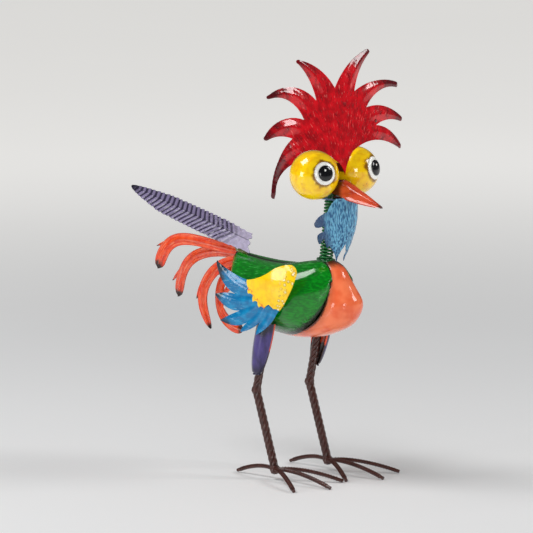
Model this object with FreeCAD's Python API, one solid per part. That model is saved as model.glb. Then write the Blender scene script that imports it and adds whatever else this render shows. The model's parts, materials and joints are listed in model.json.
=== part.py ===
"""A painted sheet-metal garden bird whose head bobs on a coil spring neck.

Frame: millimetres, +Z up, floor at Z = 0, the bird faces -Y and its left is +X.
The origin is on the floor, midway between the two feet.
"""

import FreeCAD, Part
import math
import os

V = FreeCAD.Vector
X_AXIS, Y_AXIS, Z_AXIS = V(1, 0, 0), V(0, 1, 0), V(0, 0, 1)
RIGHT, LEFT = -1, 1
SIDES = {"right": RIGHT, "left": LEFT}

# driving dimensions
SHEET = 1.5             # thickness of the stamped steel sheet
STANCE = 53.0           # half the distance between the feet
TOE_R = 3.0             # ribbed bar of the toes
TOE_FLAT = 0.6          # worn off the bar where it rests on the floor
LEG_R = 6.0             # leg rods
HUB_Z = 14.0            # where toes and shank meet
HOCK = (38.0, 124.0)    # Y and Z of the hock
HIP = (17.0, 214.0)     # Y and Z of the top of the leg rod
WELD_R = 8.5            # weld beads on the legs

NECK_BASE = V(0, -48, 310)
NECK_LEAN = 7.2         # degrees, forwards
COIL_R = 8.4            # from the spring's axis to the middle of the wire
WIRE_R = 1.6
COIL_PITCH = 8.0        # open enough for the turns to stay clear when the neck bends
SPRING_FOOT = 3.0       # where the wire starts, along the neck's axis
SWAY_AT = 18.0          # where the neck bends sideways, along its axis
NOD_AT = 36.0           # where it bends forwards and back; a quarter turn of wire off the sway's
SPRING_TOP = 94.0
BEND_GAP = 2.0          # between the cut ends of the wire where the neck bends
SPRING_CLEAR = 0.4      # between the wire and the socket's bore, and between the wire and the post
SOCKET_R, SOCKET_DEPTH = 13.5, 10.0
SOCKET_SINK, BORE_SINK = 4.0, 1.5   # how far the socket and its bore start below the neck's base
BORE_DEPTH = 30.0       # clears the body sheets away from the spring
POST_LOW, POST_TOP = 68.0, 122.0   # the ends of the post inside the spring, along the neck's axis

EYE_R = 35.0
EYE = (39.7, -65.0, 440.0)
EYE_YAW, EYE_PITCH = 17.0, 10.0
RING_R, PUPIL_R = 16.0, 11.3
RING_RISE, PUPIL_RISE = 1.0, 2.2   # how far the ring and the pupil stand out of the ball
EYE_CLEAR = 0.4                    # round the balls where the crest is cut out

CREST_FOOT = (-86.0, 440.0)   # Y and Z of the crest's point between the eyes
CREST_LEAN = 9.2              # degrees, backwards
CREST_CAMBER_R = 650.0

WING_FRONT = (58.0, -50.0)    # X and Y of the wing's leading edge
WING_FLARE = 10.0             # degrees, outwards towards the rear
LEFT_WING_SHIFT = V(0, 14, -22)   # the left wing hangs further back and lower than the right one


def save(name, shape):
    """Write one closed solid piece as parts/NAME.step."""
    if not shape.isValid():
        raise ValueError(name + " is not valid")
    shape.exportStep("parts/" + name + ".step")


def mirrored(shape, side):
    """The shape as it is on the right side, or its mirror image on the left."""
    return shape if side == RIGHT else shape.mirror(V(0, 0, 0), X_AXIS)


def arcs(points):
    """A closed wire of three-point arcs: corner, bulge, corner, bulge, and round to the first corner."""
    ring = list(points) + [points[0]]
    edges = [Part.Arc(ring[i], ring[i + 1], ring[i + 2]).toShape() for i in range(0, len(points), 2)]
    return Part.Wire(edges)


def bent_edges(corners, sag, place):
    """A closed outline whose straight runs bow sideways by sag times their length."""
    points = []
    for (a, b), (c, d) in zip(corners, corners[1:] + corners[:1]):
        middle = ((a + c) / 2 + sag * (d - b), (b + d) / 2 - sag * (c - a))
        points += [place(a, b), place(*middle)]
    return arcs(points)


def plate(wire, push):
    """A flat plate from its outline and the vector of its thickness."""
    return Part.Face(wire).extrude(push)


def rod(start, end, radius):
    """A round rod between two points."""
    along = end - start
    return Part.makeCylinder(radius, along.Length, start, along)


def arched_bar(start, via, end, radius):
    """A round bar bent along the arc through three points."""
    path = Part.Arc(start, via, end).toShape()
    section = Part.Wire(Part.makeCircle(radius, start, path.tangentAt(path.FirstParameter)))
    return Part.Wire(path).makePipeShell([section], True, False)


def crescent(top, side, bottom, inwards):
    """The section of a domed sheet: an outer arc and an inner arc one sheet away."""
    outer = Part.Arc(top, side, bottom).toShape()
    top_in, side_in, bottom_in = (p + inwards(p) for p in (top, side, bottom))
    inner = Part.Arc(bottom_in, side_in, top_in).toShape()
    return Part.Wire([outer, Part.makeLine(bottom, bottom_in), inner, Part.makeLine(top_in, top)])


# ---- body ----
# stations of the right shell: Y, top (X, Z), widest X, bottom (X, Z)
SHELL_STATIONS = [
    (126, (0.4, 313), 17, (0.4, 272)),
    (100, (0.4, 306), 40, (0.4, 238)),
    (60, (0.4, 302), 55, (5, 213)),
    (20, (0.4, 303), 61, (22, 205)),
    (-20, (0.4, 310), 60, (31, 208)),
    (-50, (10, 315), 47, (29, 228)),
    (-68, (13, 309), 33, (26, 249)),
    (-79, (17, 294), 25, (21, 275)),
]
# stations of the breast: edge (Y, Z), crown (Y, Z) and half width
BREAST_STATIONS = [
    ((-58, 310), (-64, 313), 10),
    ((-71, 302), (-80, 305), 15),
    ((-77, 278), (-97, 281), 21),
    ((-76, 258), (-110, 258), 26),
    ((-66, 238), (-98, 231), 29),
    ((-40, 219), (-54, 208), 30),
    ((4, 207), (2, 200), 27),
    ((44, 208), (44, 203), 14),
]
TAIL_SOCKET = (V(0, 112, 309), V(0, 138, 319))
TAIL_SOCKET_R = 5.5


def body_shell():
    """The right side of the body: a domed sheet lofted from the tail to the breast."""
    sections = []
    for y, (top_x, top_z), wide, (low_x, low_z) in SHELL_STATIONS:
        middle = (top_z + low_z) / 2
        centre = V(-low_x / 2, y, middle)

        def inwards(p, centre=centre):
            return (centre - p).normalize() * SHEET

        top, side, bottom = V(-top_x, y, top_z), V(-wide, y, middle), V(-low_x, y, low_z)
        sections.append(crescent(top, side, bottom, inwards))
    return Part.makeLoft(sections, True)


def breast_panel():
    """The domed sheet that closes the front and the belly between the two shells."""
    sections = []
    for (edge_y, edge_z), (crown_y, crown_z), half in BREAST_STATIONS:
        step = V(0, edge_y - crown_y, edge_z - crown_z).normalize() * SHEET
        right, crown, left = V(-half, edge_y, edge_z), V(0, crown_y, crown_z), V(half, edge_y, edge_z)
        sections.append(crescent(right, crown, left, lambda p, step=step: step))
    return Part.makeLoft(sections, True)


def make_body():
    """Two side shells, the breast panel and the sockets of neck and tail."""
    axis = neck_axis()
    bore = Part.makeCylinder(COIL_R + WIRE_R + SPRING_CLEAR, BORE_DEPTH, NECK_BASE - axis * BORE_SINK, axis)
    shell = body_shell()
    for name, side in SIDES.items():
        save("body_shell_" + name, mirrored(shell, side).cut(bore))
    save("breast_panel", breast_panel().cut(bore))
    socket = Part.makeCylinder(SOCKET_R, SOCKET_DEPTH, NECK_BASE - axis * SOCKET_SINK, axis)
    save("neck_socket", socket.cut(bore))
    save("tail_socket", rod(*TAIL_SOCKET, TAIL_SOCKET_R))


# ---- tail ----
FEATHER_ROOT, FEATHER_TIP = (112.0, 326.0), (362.0, 386.0)
FEATHER_FOLD = 24.0     # degrees that each half turns down from the midrib
FEATHER_ROLL = 40.0     # degrees that it rolls to the right about its midrib


# half the feather's width at places along it, as shares of its length
FEATHER_RIM = [(0.01, 8), (-0.02, 14), (0.14, 18), (0.45, 17), (0.8, 12), (0.97, 5)]
FEATHER_STRIP = 25.0    # half the width of the folded strip that the feather is cut from


def tail_feather():
    """The long feather: a V-folded strip trimmed to an outline with a ragged root and a narrow tip."""
    (root_y, root_z), (tip_y, tip_z) = FEATHER_ROOT, FEATHER_TIP
    length = math.hypot(tip_y - root_y, tip_z - root_z)
    slope = math.degrees(math.atan2(tip_z - root_z, tip_y - root_y))
    drop = FEATHER_STRIP * math.tan(math.radians(FEATHER_FOLD))
    reach = drop + 20
    outline = [V(0, 0, -reach)] + [V(half, share * length, -reach) for share, half in FEATHER_RIM]
    outline += [V(0, length, -reach)]
    outline += [V(-half, share * length, -reach) for share, half in reversed(FEATHER_RIM)]
    trim = plate(Part.makePolygon(outline + outline[:1]), V(0, 0, 2 * reach))
    before = -0.1 * length
    upper = [V(-FEATHER_STRIP, before, -drop), V(0, before, 0), V(FEATHER_STRIP, before, -drop)]
    lower = [p - V(0, 0, SHEET) for p in reversed(upper)]
    strip = plate(Part.makePolygon(upper + lower + upper[:1]), V(0, 1.2 * length, 0))
    feather = strip.common(trim)
    feather.rotate(V(0, 0, 0), Y_AXIS, -FEATHER_ROLL)
    feather.rotate(V(0, 0, 0), X_AXIS, slope)
    feather.translate(V(0, root_y, root_z))
    return feather.Solids[0]


# outlines of the four plumes, corner by corner in (Y, Z), and how far each fans out from the mirror plane
PLUMES = {
    "upper": (4.0, [(126, 318), (200, 314), (268, 326), (304, 306), (284, 309), (250, 312), (276, 304),
                    (306, 282), (296, 268), (286, 286), (256, 296), (200, 298), (126, 306)]),
    "middle": (-9.0, [(124, 308), (180, 306), (222, 300), (242, 290), (218, 292), (244, 282),
                      (288, 250), (262, 262), (276, 234), (262, 224), (246, 252), (214, 276),
                      (170, 290), (124, 296)]),
    "lower": (10.0, [(124, 300), (160, 288), (188, 266), (178, 258), (206, 236), (190, 236), (200, 210),
                     (186, 192), (172, 216), (160, 248), (140, 272), (122, 284)]),
    "inner": (-5.0, [(122, 286), (140, 266), (158, 232), (176, 234), (164, 214), (150, 190), (136, 196),
                     (124, 208), (128, 232), (124, 256), (116, 272)]),
}
PLUME_ROOT = V(0, 118, 300)


def tail_plume(fan, corners):
    """A flat plume with split barbs, swung out about the upright line through the tail root."""
    wire = bent_edges(corners, 0.02, lambda y, z: V(-SHEET / 2, y, z))
    plume = plate(wire, V(SHEET, 0, 0))
    plume.rotate(PLUME_ROOT, Z_AXIS, fan)
    return plume


def make_tail():
    """The long feather over four plumes."""
    save("tail_feather", tail_feather())
    for name, (fan, corners) in PLUMES.items():
        save("tail_plume_" + name, tail_plume(fan, corners))


# ---- wings ----
# outlines in (Y, Z), counter-clockwise as seen from the bird's right
WING_FEATHERS = [(-20, 296), (26, 285), (45, 283), (62, 288), (88, 305), (72, 278), (56, 262),
                 (92, 257), (70, 246), (47, 240), (84, 219), (56, 220), (34, 222), (46, 206), (26, 212),
                 (11, 223), (18, 205), (2, 216), (-14, 240)]
WING_COVER = [(-30, 311), (-2, 297), (36, 284), (36, 268), (28, 252), (11, 243), (-18, 241), (-34, 263),
              (-45, 282), (-47, 297)]


def on_wing(y, z, lift=0.0):
    """The place of an outline's point on the flared plane of the right wing."""
    x0, y0 = WING_FRONT
    return V(-x0 - lift - (y - y0) * math.tan(math.radians(WING_FLARE)), y, z)


def make_wings():
    """A plate of blue feathers under a thicker yellow shoulder on each side."""
    feathers = plate(bent_edges(WING_FEATHERS, -0.04, on_wing), V(SHEET, 0, 0))
    cover = plate(bent_edges(WING_COVER, -0.04, lambda y, z: on_wing(y, z, 4.0)), V(4.0, 0, 0))
    for name, side in SIDES.items():
        shift = LEFT_WING_SHIFT if side == LEFT else V(0, 0, 0)
        save("wing_feathers_" + name, mirrored(feathers, side).translated(shift))
        save("wing_cover_" + name, mirrored(cover, side).translated(shift))


# ---- legs ----
TOES = {"middle": (0.0, 112.0), "outer": (-29.0, 105.0), "inner": (29.0, 99.0), "hind": (180.0, 77.0)}
TOE_RISE = 15.0         # how high the arch of a toe stands at its middle


def toe(bearing, length):
    """One arched toe of the right foot, from the weld bead to its tip on the floor."""
    angle = math.radians(bearing)
    ahead = V(math.sin(angle), -math.cos(angle), 0)
    hub = V(-STANCE, 0, HUB_Z)
    tip_z = TOE_R - TOE_FLAT
    tip = V(hub.x, hub.y, tip_z) + ahead * length
    arch = V(hub.x, hub.y, TOE_RISE) + ahead * (0.42 * length)
    bar = arched_bar(hub, arch, tip, TOE_R)
    under_floor = Part.makeBox(600, 600, 50, V(-300, -300, -50))
    return bar.cut(under_floor)


THIGH_TOP, THIGH_LOW = (15.0, 222.0), (34.0, 150.0)   # Y and Z of the ends of its axis
THIGH_TOP_R, THIGH_LOW_R = 15.0, 8.0


def thigh():
    """The open half shell over the outside of the right leg's top."""
    top, low = V(-STANCE - 1, *THIGH_TOP), V(-STANCE - 1, *THIGH_LOW)
    along = low - top
    outer = Part.makeCone(THIGH_TOP_R, THIGH_LOW_R, along.Length, top, along)
    inner = Part.makeCone(THIGH_TOP_R - SHEET, THIGH_LOW_R - SHEET, along.Length, top, along)
    inner_half = Part.makeBox(60, 120, 160, V(-STANCE - 1, -40, 120))
    return outer.cut(inner).cut(inner_half)


def make_legs():
    """Thighs, leg rods, weld beads and toes."""
    hip = V(-STANCE, *HIP)
    hock = V(-STANCE, *HOCK)
    hub = V(-STANCE, 0, HUB_Z)
    pieces = {
        "thigh": thigh(),
        "upper_leg": rod(hip, hock, LEG_R),
        "shank": rod(hock, hub, LEG_R),
        "hock_weld": Part.makeSphere(WELD_R, hock),
        "foot_weld": Part.makeSphere(WELD_R, hub),
    }
    for name, (bearing, length) in TOES.items():
        pieces["toe_" + name] = toe(bearing, length)
    for side_name, side in SIDES.items():
        for name, shape in pieces.items():
            save(name + "_" + side_name, mirrored(shape, side))


# ---- neck ----
def neck_axis():
    """The direction of the spring, leaning forwards."""
    lean = math.radians(NECK_LEAN)
    return V(0, -math.sin(lean), math.cos(lean))


def coil(start, end):
    """The spring's wire between two heights along the neck's axis."""
    helix = Part.makeHelix(COIL_PITCH, end - start, COIL_R)
    path = Part.Wire(helix.Edges)
    begin = path.Edges[0].valueAt(path.Edges[0].FirstParameter)
    tangent = path.Edges[0].tangentAt(path.Edges[0].FirstParameter)
    section = Part.Wire(Part.makeCircle(WIRE_R, begin, tangent))
    wire = path.makePipeShell([section], True, True)
    # the wire crosses the sway axis, +Y, at the sway's height
    turned = 90.0 + 360.0 * (start - SWAY_AT) / COIL_PITCH
    wire.rotate(V(0, 0, 0), Z_AXIS, turned)
    wire.translate(V(0, 0, start))
    wire.rotate(V(0, 0, 0), X_AXIS, NECK_LEAN)
    wire.translate(NECK_BASE)
    return wire


def make_neck():
    """The spring in three lengths: it twists in its socket, sways at the first cut and nods at the second."""
    rise = BEND_GAP / 2 * COIL_PITCH / (2 * math.pi * COIL_R)
    save("neck_spring_lower", coil(SPRING_FOOT, SWAY_AT - rise))
    save("neck_spring_middle", coil(SWAY_AT + rise, NOD_AT - rise))
    save("neck_spring_upper", coil(NOD_AT + rise, SPRING_TOP))


# ---- head ----
# the crest's outline in (X, distance up the leaning sheet): each corner, and a point on the arc to the next
CREST = [
    ((0, -1), (-4, 11)), ((-12, 19), (-40, 27)), ((-68, 23), (-104, 17)),
    ((-130, -23), (-134, -21)), ((-135, -16), (-124, 19)), ((-88, 57), (-112, 62)),
    ((-131, 59), (-136, 60)), ((-136, 63), (-104, 84)), ((-64, 81), (-88, 110)),
    ((-121, 115), (-124, 117)), ((-122, 120), (-88, 129)), ((-38, 105), (-46, 133)),
    ((-67, 160), (-68, 164)), ((-63, 164), (-24, 147)), ((-1, 121), (30, 152)),
    ((68, 171), (73, 172)), ((77, 168), (52, 143)), ((37, 114), (90, 127)),
    ((135, 122), (136, 117)), ((130, 115), (86, 110)), ((59, 90), (106, 88)),
    ((135, 73), (136, 68)), ((133, 66), (104, 70)), ((76, 64), (106, 54)),
    ((127, 33), (126, 28)), ((121, 29), (74, 43)), ((21, 31), (8, 16)),
]
RIVET_AT = (76, 70)     # in the same way


def eye_direction(side):
    """Where an eye looks: outwards and a little up."""
    yaw, pitch = math.radians(EYE_YAW), math.radians(EYE_PITCH)
    return V(side * math.sin(yaw) * math.cos(pitch), -math.cos(yaw) * math.cos(pitch), math.sin(pitch))


def make_eyes():
    """Hollow balls with a white ring and a black pupil in front."""
    reach = 2 * EYE_R
    for name, side in SIDES.items():
        centre = V(side * EYE[0], EYE[1], EYE[2])
        look = eye_direction(side)
        ball = Part.makeSphere(EYE_R, centre)
        iris = Part.makeCylinder(PUPIL_R, reach, centre, look)
        ring = Part.makeSphere(EYE_R + RING_RISE, centre)
        ring = ring.common(Part.makeCylinder(RING_R, reach, centre, look))
        pupil = Part.makeSphere(EYE_R + PUPIL_RISE, centre)
        pupil = pupil.common(Part.makeCylinder(PUPIL_R - 0.1, reach, centre, look))
        save("eye_ball_" + name, ball.cut(Part.makeSphere(EYE_R - SHEET, centre)))
        save("eye_ring_" + name, ring.cut(ball).cut(iris))
        save("pupil_" + name, pupil.cut(ball))


def crest():
    """The comb of eight horns, cambered about an upright line and cut out round the eyes."""
    edges = []
    for ((x0, h0), (via_x, via_h)), ((x1, h1), _) in zip(CREST, CREST[1:] + CREST[:1]):
        edges.append(Part.Arc(V(x0, 0, h0), V(via_x, 0, via_h), V(x1, 0, h1)).toShape())
    slab = plate(Part.Wire(edges), V(0, 60, 0))
    centre = V(0, CREST_CAMBER_R, -60)
    sheet = Part.makeCylinder(CREST_CAMBER_R, 300, centre)
    sheet = sheet.cut(Part.makeCylinder(CREST_CAMBER_R - SHEET, 300, centre))
    comb = slab.common(sheet)
    comb.rotate(V(0, 0, 0), X_AXIS, -CREST_LEAN)
    comb.translate(V(0, *CREST_FOOT))
    for side in (RIGHT, LEFT):
        comb = comb.cut(Part.makeSphere(EYE_R + EYE_CLEAR, V(side * EYE[0], EYE[1], EYE[2])))
    return max(comb.Solids, key=lambda s: s.Volume)


def crest_point(x, up):
    """A point on the front of the crest's cambered sheet."""
    lean = math.radians(CREST_LEAN)
    back = CREST_CAMBER_R - math.sqrt(CREST_CAMBER_R ** 2 - x ** 2)
    foot_y, foot_z = CREST_FOOT
    y = foot_y + back * math.cos(lean) + up * math.sin(lean)
    return V(x, y, foot_z - back * math.sin(lean) + up * math.cos(lean))


def beak_half(base_y, half, low_z, high_z, tip):
    """One mandible: an arched section at the base drawn out to a small one at the tip."""
    tip_y, tip_z = tip
    sections = []
    for y, wide, low, high in ((base_y, half, low_z, high_z), (tip_y, 0.8, tip_z - 0.8, tip_z + 0.8)):
        arch = Part.Arc(V(-wide, y, low), V(0, y, high), V(wide, y, low)).toShape()
        sections.append(Part.Wire([arch, Part.makeLine(V(wide, y, low), V(-wide, y, low))]))
    return Part.makeLoft(sections, True, True)


# the beard's sections: Z, half width, Y of its front and Y of its side edges
BEARD_STATIONS = [(402, 30, -97, -58), (372, 30, -97, -60), (348, 25, -92, -66), (334, 19, -86, -70)]
# the right prong's sections: Z, outer corner and inner corner (X, Y)
PRONG_STATIONS = [(336, (-19, -70), (-7, -83.5)), (322, (-15, -73), (-12, -76))]


def beard():
    """The sheet that wraps round the front of the neck, down to two tips."""
    sections = []
    for z, half, front, back in BEARD_STATIONS:
        centre = V(0, -60, z)

        def inwards(p, centre=centre):
            return (centre - p).normalize() * SHEET

        sections.append(crescent(V(-half, back, z), V(0, front, z), V(half, back, z), inwards))
    sheet = Part.makeLoft(sections, True)
    quads = []
    for z, (outer_x, outer_y), (inner_x, inner_y) in PRONG_STATIONS:
        outer, inner = V(outer_x, outer_y, z), V(inner_x, inner_y, z)
        along = inner - outer
        step = V(-along.y, along.x, 0).normalize() * SHEET
        corners = [outer, inner, inner + step, outer + step]
        quads.append(Part.makePolygon(corners + corners[:1]))
    prong = Part.makeLoft(quads, True, True)
    return sheet.fuse([prong, prong.mirror(V(0, 0, 0), X_AXIS)]).removeSplitter()


EYE_BAR_R, EYE_BAR_HALF = 5.0, 26.0
UPPER_BEAK = (-87, 17, 412, 432, (-158, 399))       # base Y, half width, low Z, high Z, tip (Y, Z)
LOWER_BEAK = (-87, 14, 405.6, 410.5, (-142, 399.5))


def make_head():
    """Everything that rides on top of the spring."""
    axis = neck_axis()
    bar_centre = V(0, EYE[1], EYE[2])
    half_bar = X_AXIS * EYE_BAR_HALF
    post_r = COIL_R - WIRE_R - SPRING_CLEAR
    save("neck_post", rod(NECK_BASE + axis * POST_LOW, NECK_BASE + axis * POST_TOP, post_r))
    save("eye_bar", rod(bar_centre - half_bar, bar_centre + half_bar, EYE_BAR_R))
    save("chin_plate", Part.makeBox(36, 42, 2, V(-18, -94, 403.5)))
    save("crest_tab", Part.makeBox(3, 22, 12, V(-1.5, -83.5, 443)))
    save("crest", crest())
    save("crest_rivet", Part.makeSphere(3.2, crest_point(*RIVET_AT)))
    make_eyes()
    save("upper_beak", beak_half(*UPPER_BEAK))
    save("lower_beak", beak_half(*LOWER_BEAK))
    save("beard", beard())


os.makedirs("parts", exist_ok=True)
make_body()
make_tail()
make_wings()
make_legs()
make_neck()
make_head()
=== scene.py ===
"""A painted sheet-metal garden bird whose head bobs on a coil spring neck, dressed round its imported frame.

Sizes in the classes are in millimetres in the frame's own axes: floor at Z = 0, the bird faces -Y and its
left is +X. A finished piece is scaled to metres once, by Bench.finish.
"""
import json
import logging
import math
from dataclasses import dataclass, field
from enum import Enum
from typing import Callable, Sequence

import bmesh
import bpy
from mathutils import Matrix, Vector


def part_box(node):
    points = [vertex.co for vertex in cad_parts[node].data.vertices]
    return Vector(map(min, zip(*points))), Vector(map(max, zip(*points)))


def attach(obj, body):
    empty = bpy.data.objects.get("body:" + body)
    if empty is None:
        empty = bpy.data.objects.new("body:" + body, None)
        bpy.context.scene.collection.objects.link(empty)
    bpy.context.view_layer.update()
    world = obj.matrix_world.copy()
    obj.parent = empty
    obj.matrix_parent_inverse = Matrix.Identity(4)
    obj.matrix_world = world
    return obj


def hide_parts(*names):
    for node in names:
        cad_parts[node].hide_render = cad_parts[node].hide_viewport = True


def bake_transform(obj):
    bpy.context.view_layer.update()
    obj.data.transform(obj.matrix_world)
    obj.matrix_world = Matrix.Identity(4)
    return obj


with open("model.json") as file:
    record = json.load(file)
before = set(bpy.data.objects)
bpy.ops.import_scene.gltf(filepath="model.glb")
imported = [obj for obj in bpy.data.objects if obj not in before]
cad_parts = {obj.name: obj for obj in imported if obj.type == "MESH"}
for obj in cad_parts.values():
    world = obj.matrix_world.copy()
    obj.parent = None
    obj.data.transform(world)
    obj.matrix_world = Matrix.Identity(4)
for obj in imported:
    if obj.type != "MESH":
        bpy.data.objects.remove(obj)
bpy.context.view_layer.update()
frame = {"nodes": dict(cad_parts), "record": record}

log = logging.getLogger("bird")
MM = 0.001
Point2 = tuple[float, float]
Point3 = tuple[float, float, float]


class Side(Enum):
    """The bird's two sides, and the sign of X on each."""

    RIGHT = -1
    LEFT = 1

    @property
    def word(self) -> str:
        """The side's word in node names."""
        return self.name.lower()


def box_mm(node: str) -> tuple[Vector, Vector]:
    """The lowest and highest corner of a frame node, in millimetres."""
    low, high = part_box(node)
    return Vector(low) / MM, Vector(high) / MM


def box_centre(node: str) -> Vector:
    """The middle of a frame node's box, in millimetres."""
    low, high = box_mm(node)
    return (low + high) / 2


# ---------------------------------------------------------------- the bench: operators with plain names


class Bench:
    """Short names for the modelling operators."""

    @staticmethod
    def clear() -> None:
        """Leave edit mode and select nothing."""
        if bpy.context.object is not None and bpy.context.object.mode != "OBJECT":
            bpy.ops.object.mode_set(mode="OBJECT")
        bpy.ops.object.select_all(action="DESELECT")

    @staticmethod
    def hold(piece: bpy.types.Object) -> bpy.types.Object:
        """Make one piece the only selected and active one."""
        Bench.clear()
        piece.select_set(True)
        bpy.context.view_layer.objects.active = piece
        return piece

    @staticmethod
    def added(name: str) -> bpy.types.Object:
        """Name the piece that an operator has just added."""
        piece = bpy.context.object
        piece.name = piece.data.name = name
        return piece

    @staticmethod
    def edit(piece: bpy.types.Object) -> None:
        """Enter edit mode on a piece."""
        Bench.hold(piece)
        bpy.ops.object.mode_set(mode="EDIT")

    @staticmethod
    def done() -> None:
        """Leave edit mode."""
        bpy.ops.object.mode_set(mode="OBJECT")

    @staticmethod
    def select_points(piece: bpy.types.Object, wanted: Callable[[Vector], bool]) -> int:
        """Select the points whose place passes a test, in edit mode.

        Args:
            piece: the piece in edit mode.
            wanted: says of a point's place whether it is selected.

        Returns:
            How many points are selected.
        """
        bpy.ops.mesh.select_mode(type="VERT")
        mesh = bmesh.from_edit_mesh(piece.data)
        count = 0
        for vert in mesh.verts:
            vert.select = wanted(vert.co)
            count += vert.select
        mesh.select_flush_mode()
        bmesh.update_edit_mesh(piece.data)
        return count

    @staticmethod
    def modify(piece: bpy.types.Object, kind: str, **settings: object) -> None:
        """Add a modifier with its settings, and apply it."""
        Bench.hold(piece)
        bpy.ops.object.modifier_add(type=kind)
        modifier = piece.modifiers[-1]
        for key, value in settings.items():
            setattr(modifier, key, value)
        bpy.ops.object.modifier_apply(modifier=modifier.name)

    @staticmethod
    def place(piece: bpy.types.Object, matrix: Matrix) -> bpy.types.Object:
        """Move a piece by a matrix and write the move into its mesh."""
        Bench.hold(piece)
        piece.matrix_world = matrix @ piece.matrix_world
        bpy.ops.object.transform_apply(location=True, rotation=True, scale=True)
        return piece

    @staticmethod
    def outward(piece: bpy.types.Object) -> None:
        """Merge doubles and turn every face outwards."""
        Bench.edit(piece)
        bpy.ops.mesh.select_all(action="SELECT")
        bpy.ops.mesh.remove_doubles(threshold=0.005)
        bpy.ops.mesh.normals_make_consistent(inside=False)
        Bench.done()

    @staticmethod
    def cut(piece: bpy.types.Object, tool: bpy.types.Object, how: str) -> None:
        """Cut a piece with a closed tool (INTERSECT, DIFFERENCE or UNION) and throw the tool away."""
        Bench.modify(piece, "BOOLEAN", operation=how, object=tool, solver="EXACT")
        bpy.data.objects.remove(tool, do_unlink=True)

    @staticmethod
    def join(name: str, pieces: Sequence[bpy.types.Object]) -> bpy.types.Object:
        """Join pieces into one object with one mesh."""
        Bench.clear()
        for piece in pieces:
            piece.select_set(True)
        bpy.context.view_layer.objects.active = pieces[0]
        if len(pieces) > 1:
            bpy.ops.object.join()
        return Bench.added(name)

    @staticmethod
    def mirrored(piece: bpy.types.Object, name: str) -> bpy.types.Object:
        """A copy of a piece with its own mesh, mirrored to the other side of X = 0."""
        copy = piece.copy()
        copy.data = piece.data.copy()
        bpy.context.collection.objects.link(copy)
        copy.name = copy.data.name = name
        Bench.place(copy, Matrix.Scale(-1, 4, (1, 0, 0)))
        Bench.edit(copy)
        bpy.ops.mesh.select_all(action="SELECT")
        bpy.ops.mesh.normals_make_consistent(inside=False)
        Bench.done()
        return copy

    @staticmethod
    def finish(piece: bpy.types.Object, material: bpy.types.Material, body: str | None, nodes: Sequence[str],
               slot: str, smooth: float = 40.0) -> bpy.types.Object:
        """Scale a piece to metres, smooth it, paint it and put it on its body.

        Args:
            piece: the finished mesh, in millimetres.
            material: its finish.
            body: the body that it rides on, or None where it rides on none.
            nodes: the frame nodes that it stands for.
            slot: the record's material slot; not used.
            smooth: the angle under which edges are shaded smooth, in degrees.

        Returns:
            The piece.
        """
        Bench.place(piece, Matrix.Scale(MM, 4))
        Bench.hold(piece)
        bpy.ops.object.shade_smooth_by_angle(angle=math.radians(smooth))
        piece.data.materials.clear()
        piece.data.materials.append(material)
        if body is not None:
            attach(piece, body)
        if nodes:
            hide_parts(*nodes)
        log.info("%s: %d faces on %s", piece.name, len(piece.data.polygons), body)
        return piece


def arc_points(start: Point2, via: Point2, end: Point2, steps: int = 10) -> list[Point2]:
    """Points along the circle through three points, without the last."""
    (ax, ay), (bx, by), (cx, cy) = start, via, end
    twice = 2 * (ax * (by - cy) + bx * (cy - ay) + cx * (ay - by))
    if abs(twice) < 1e-6:
        return [(ax + (cx - ax) * i / steps, ay + (cy - ay) * i / steps) for i in range(steps)]
    aa, bb, cc = ax * ax + ay * ay, bx * bx + by * by, cx * cx + cy * cy
    ox = (aa * (by - cy) + bb * (cy - ay) + cc * (ay - by)) / twice
    oy = (aa * (cx - bx) + bb * (ax - cx) + cc * (bx - ax)) / twice
    radius = math.hypot(ax - ox, ay - oy)
    first, middle, last = (math.atan2(y - oy, x - ox) for x, y in (start, via, end))
    sweep = (last - first) % (2 * math.pi)
    if (middle - first) % (2 * math.pi) > sweep:
        sweep -= 2 * math.pi
    return [(ox + radius * math.cos(first + sweep * i / steps),
             oy + radius * math.sin(first + sweep * i / steps))
            for i in range(steps)]


def outline(corners: Sequence[tuple[Point2, Point2]], steps: int = 10) -> list[Point2]:
    """A closed outline from corners, each with a point on the arc that leads to the next corner."""
    points: list[Point2] = []
    for (corner, via), (following, _) in zip(corners, list(corners[1:]) + [corners[0]]):
        points += arc_points(corner, via, following, steps)
    return points


def punch(name: str, points: Sequence[Point2], depth: float) -> bpy.types.Object:
    """A closed prism over an outline in the XY plane, as deep on both sides of it."""
    curve = bpy.data.curves.new(name, "CURVE")
    curve.dimensions = "2D"
    curve.fill_mode = "BOTH"
    curve.extrude = depth
    spline = curve.splines.new("POLY")
    spline.points.add(len(points) - 1)
    for knot, (x, y) in zip(spline.points, points):
        knot.co = (x, y, 0, 1)
    spline.use_cyclic_u = True
    tool = bpy.data.objects.new(name, curve)
    bpy.context.collection.objects.link(tool)
    Bench.hold(tool)
    bpy.ops.object.convert(target="MESH")
    Bench.outward(tool)
    return tool


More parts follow.
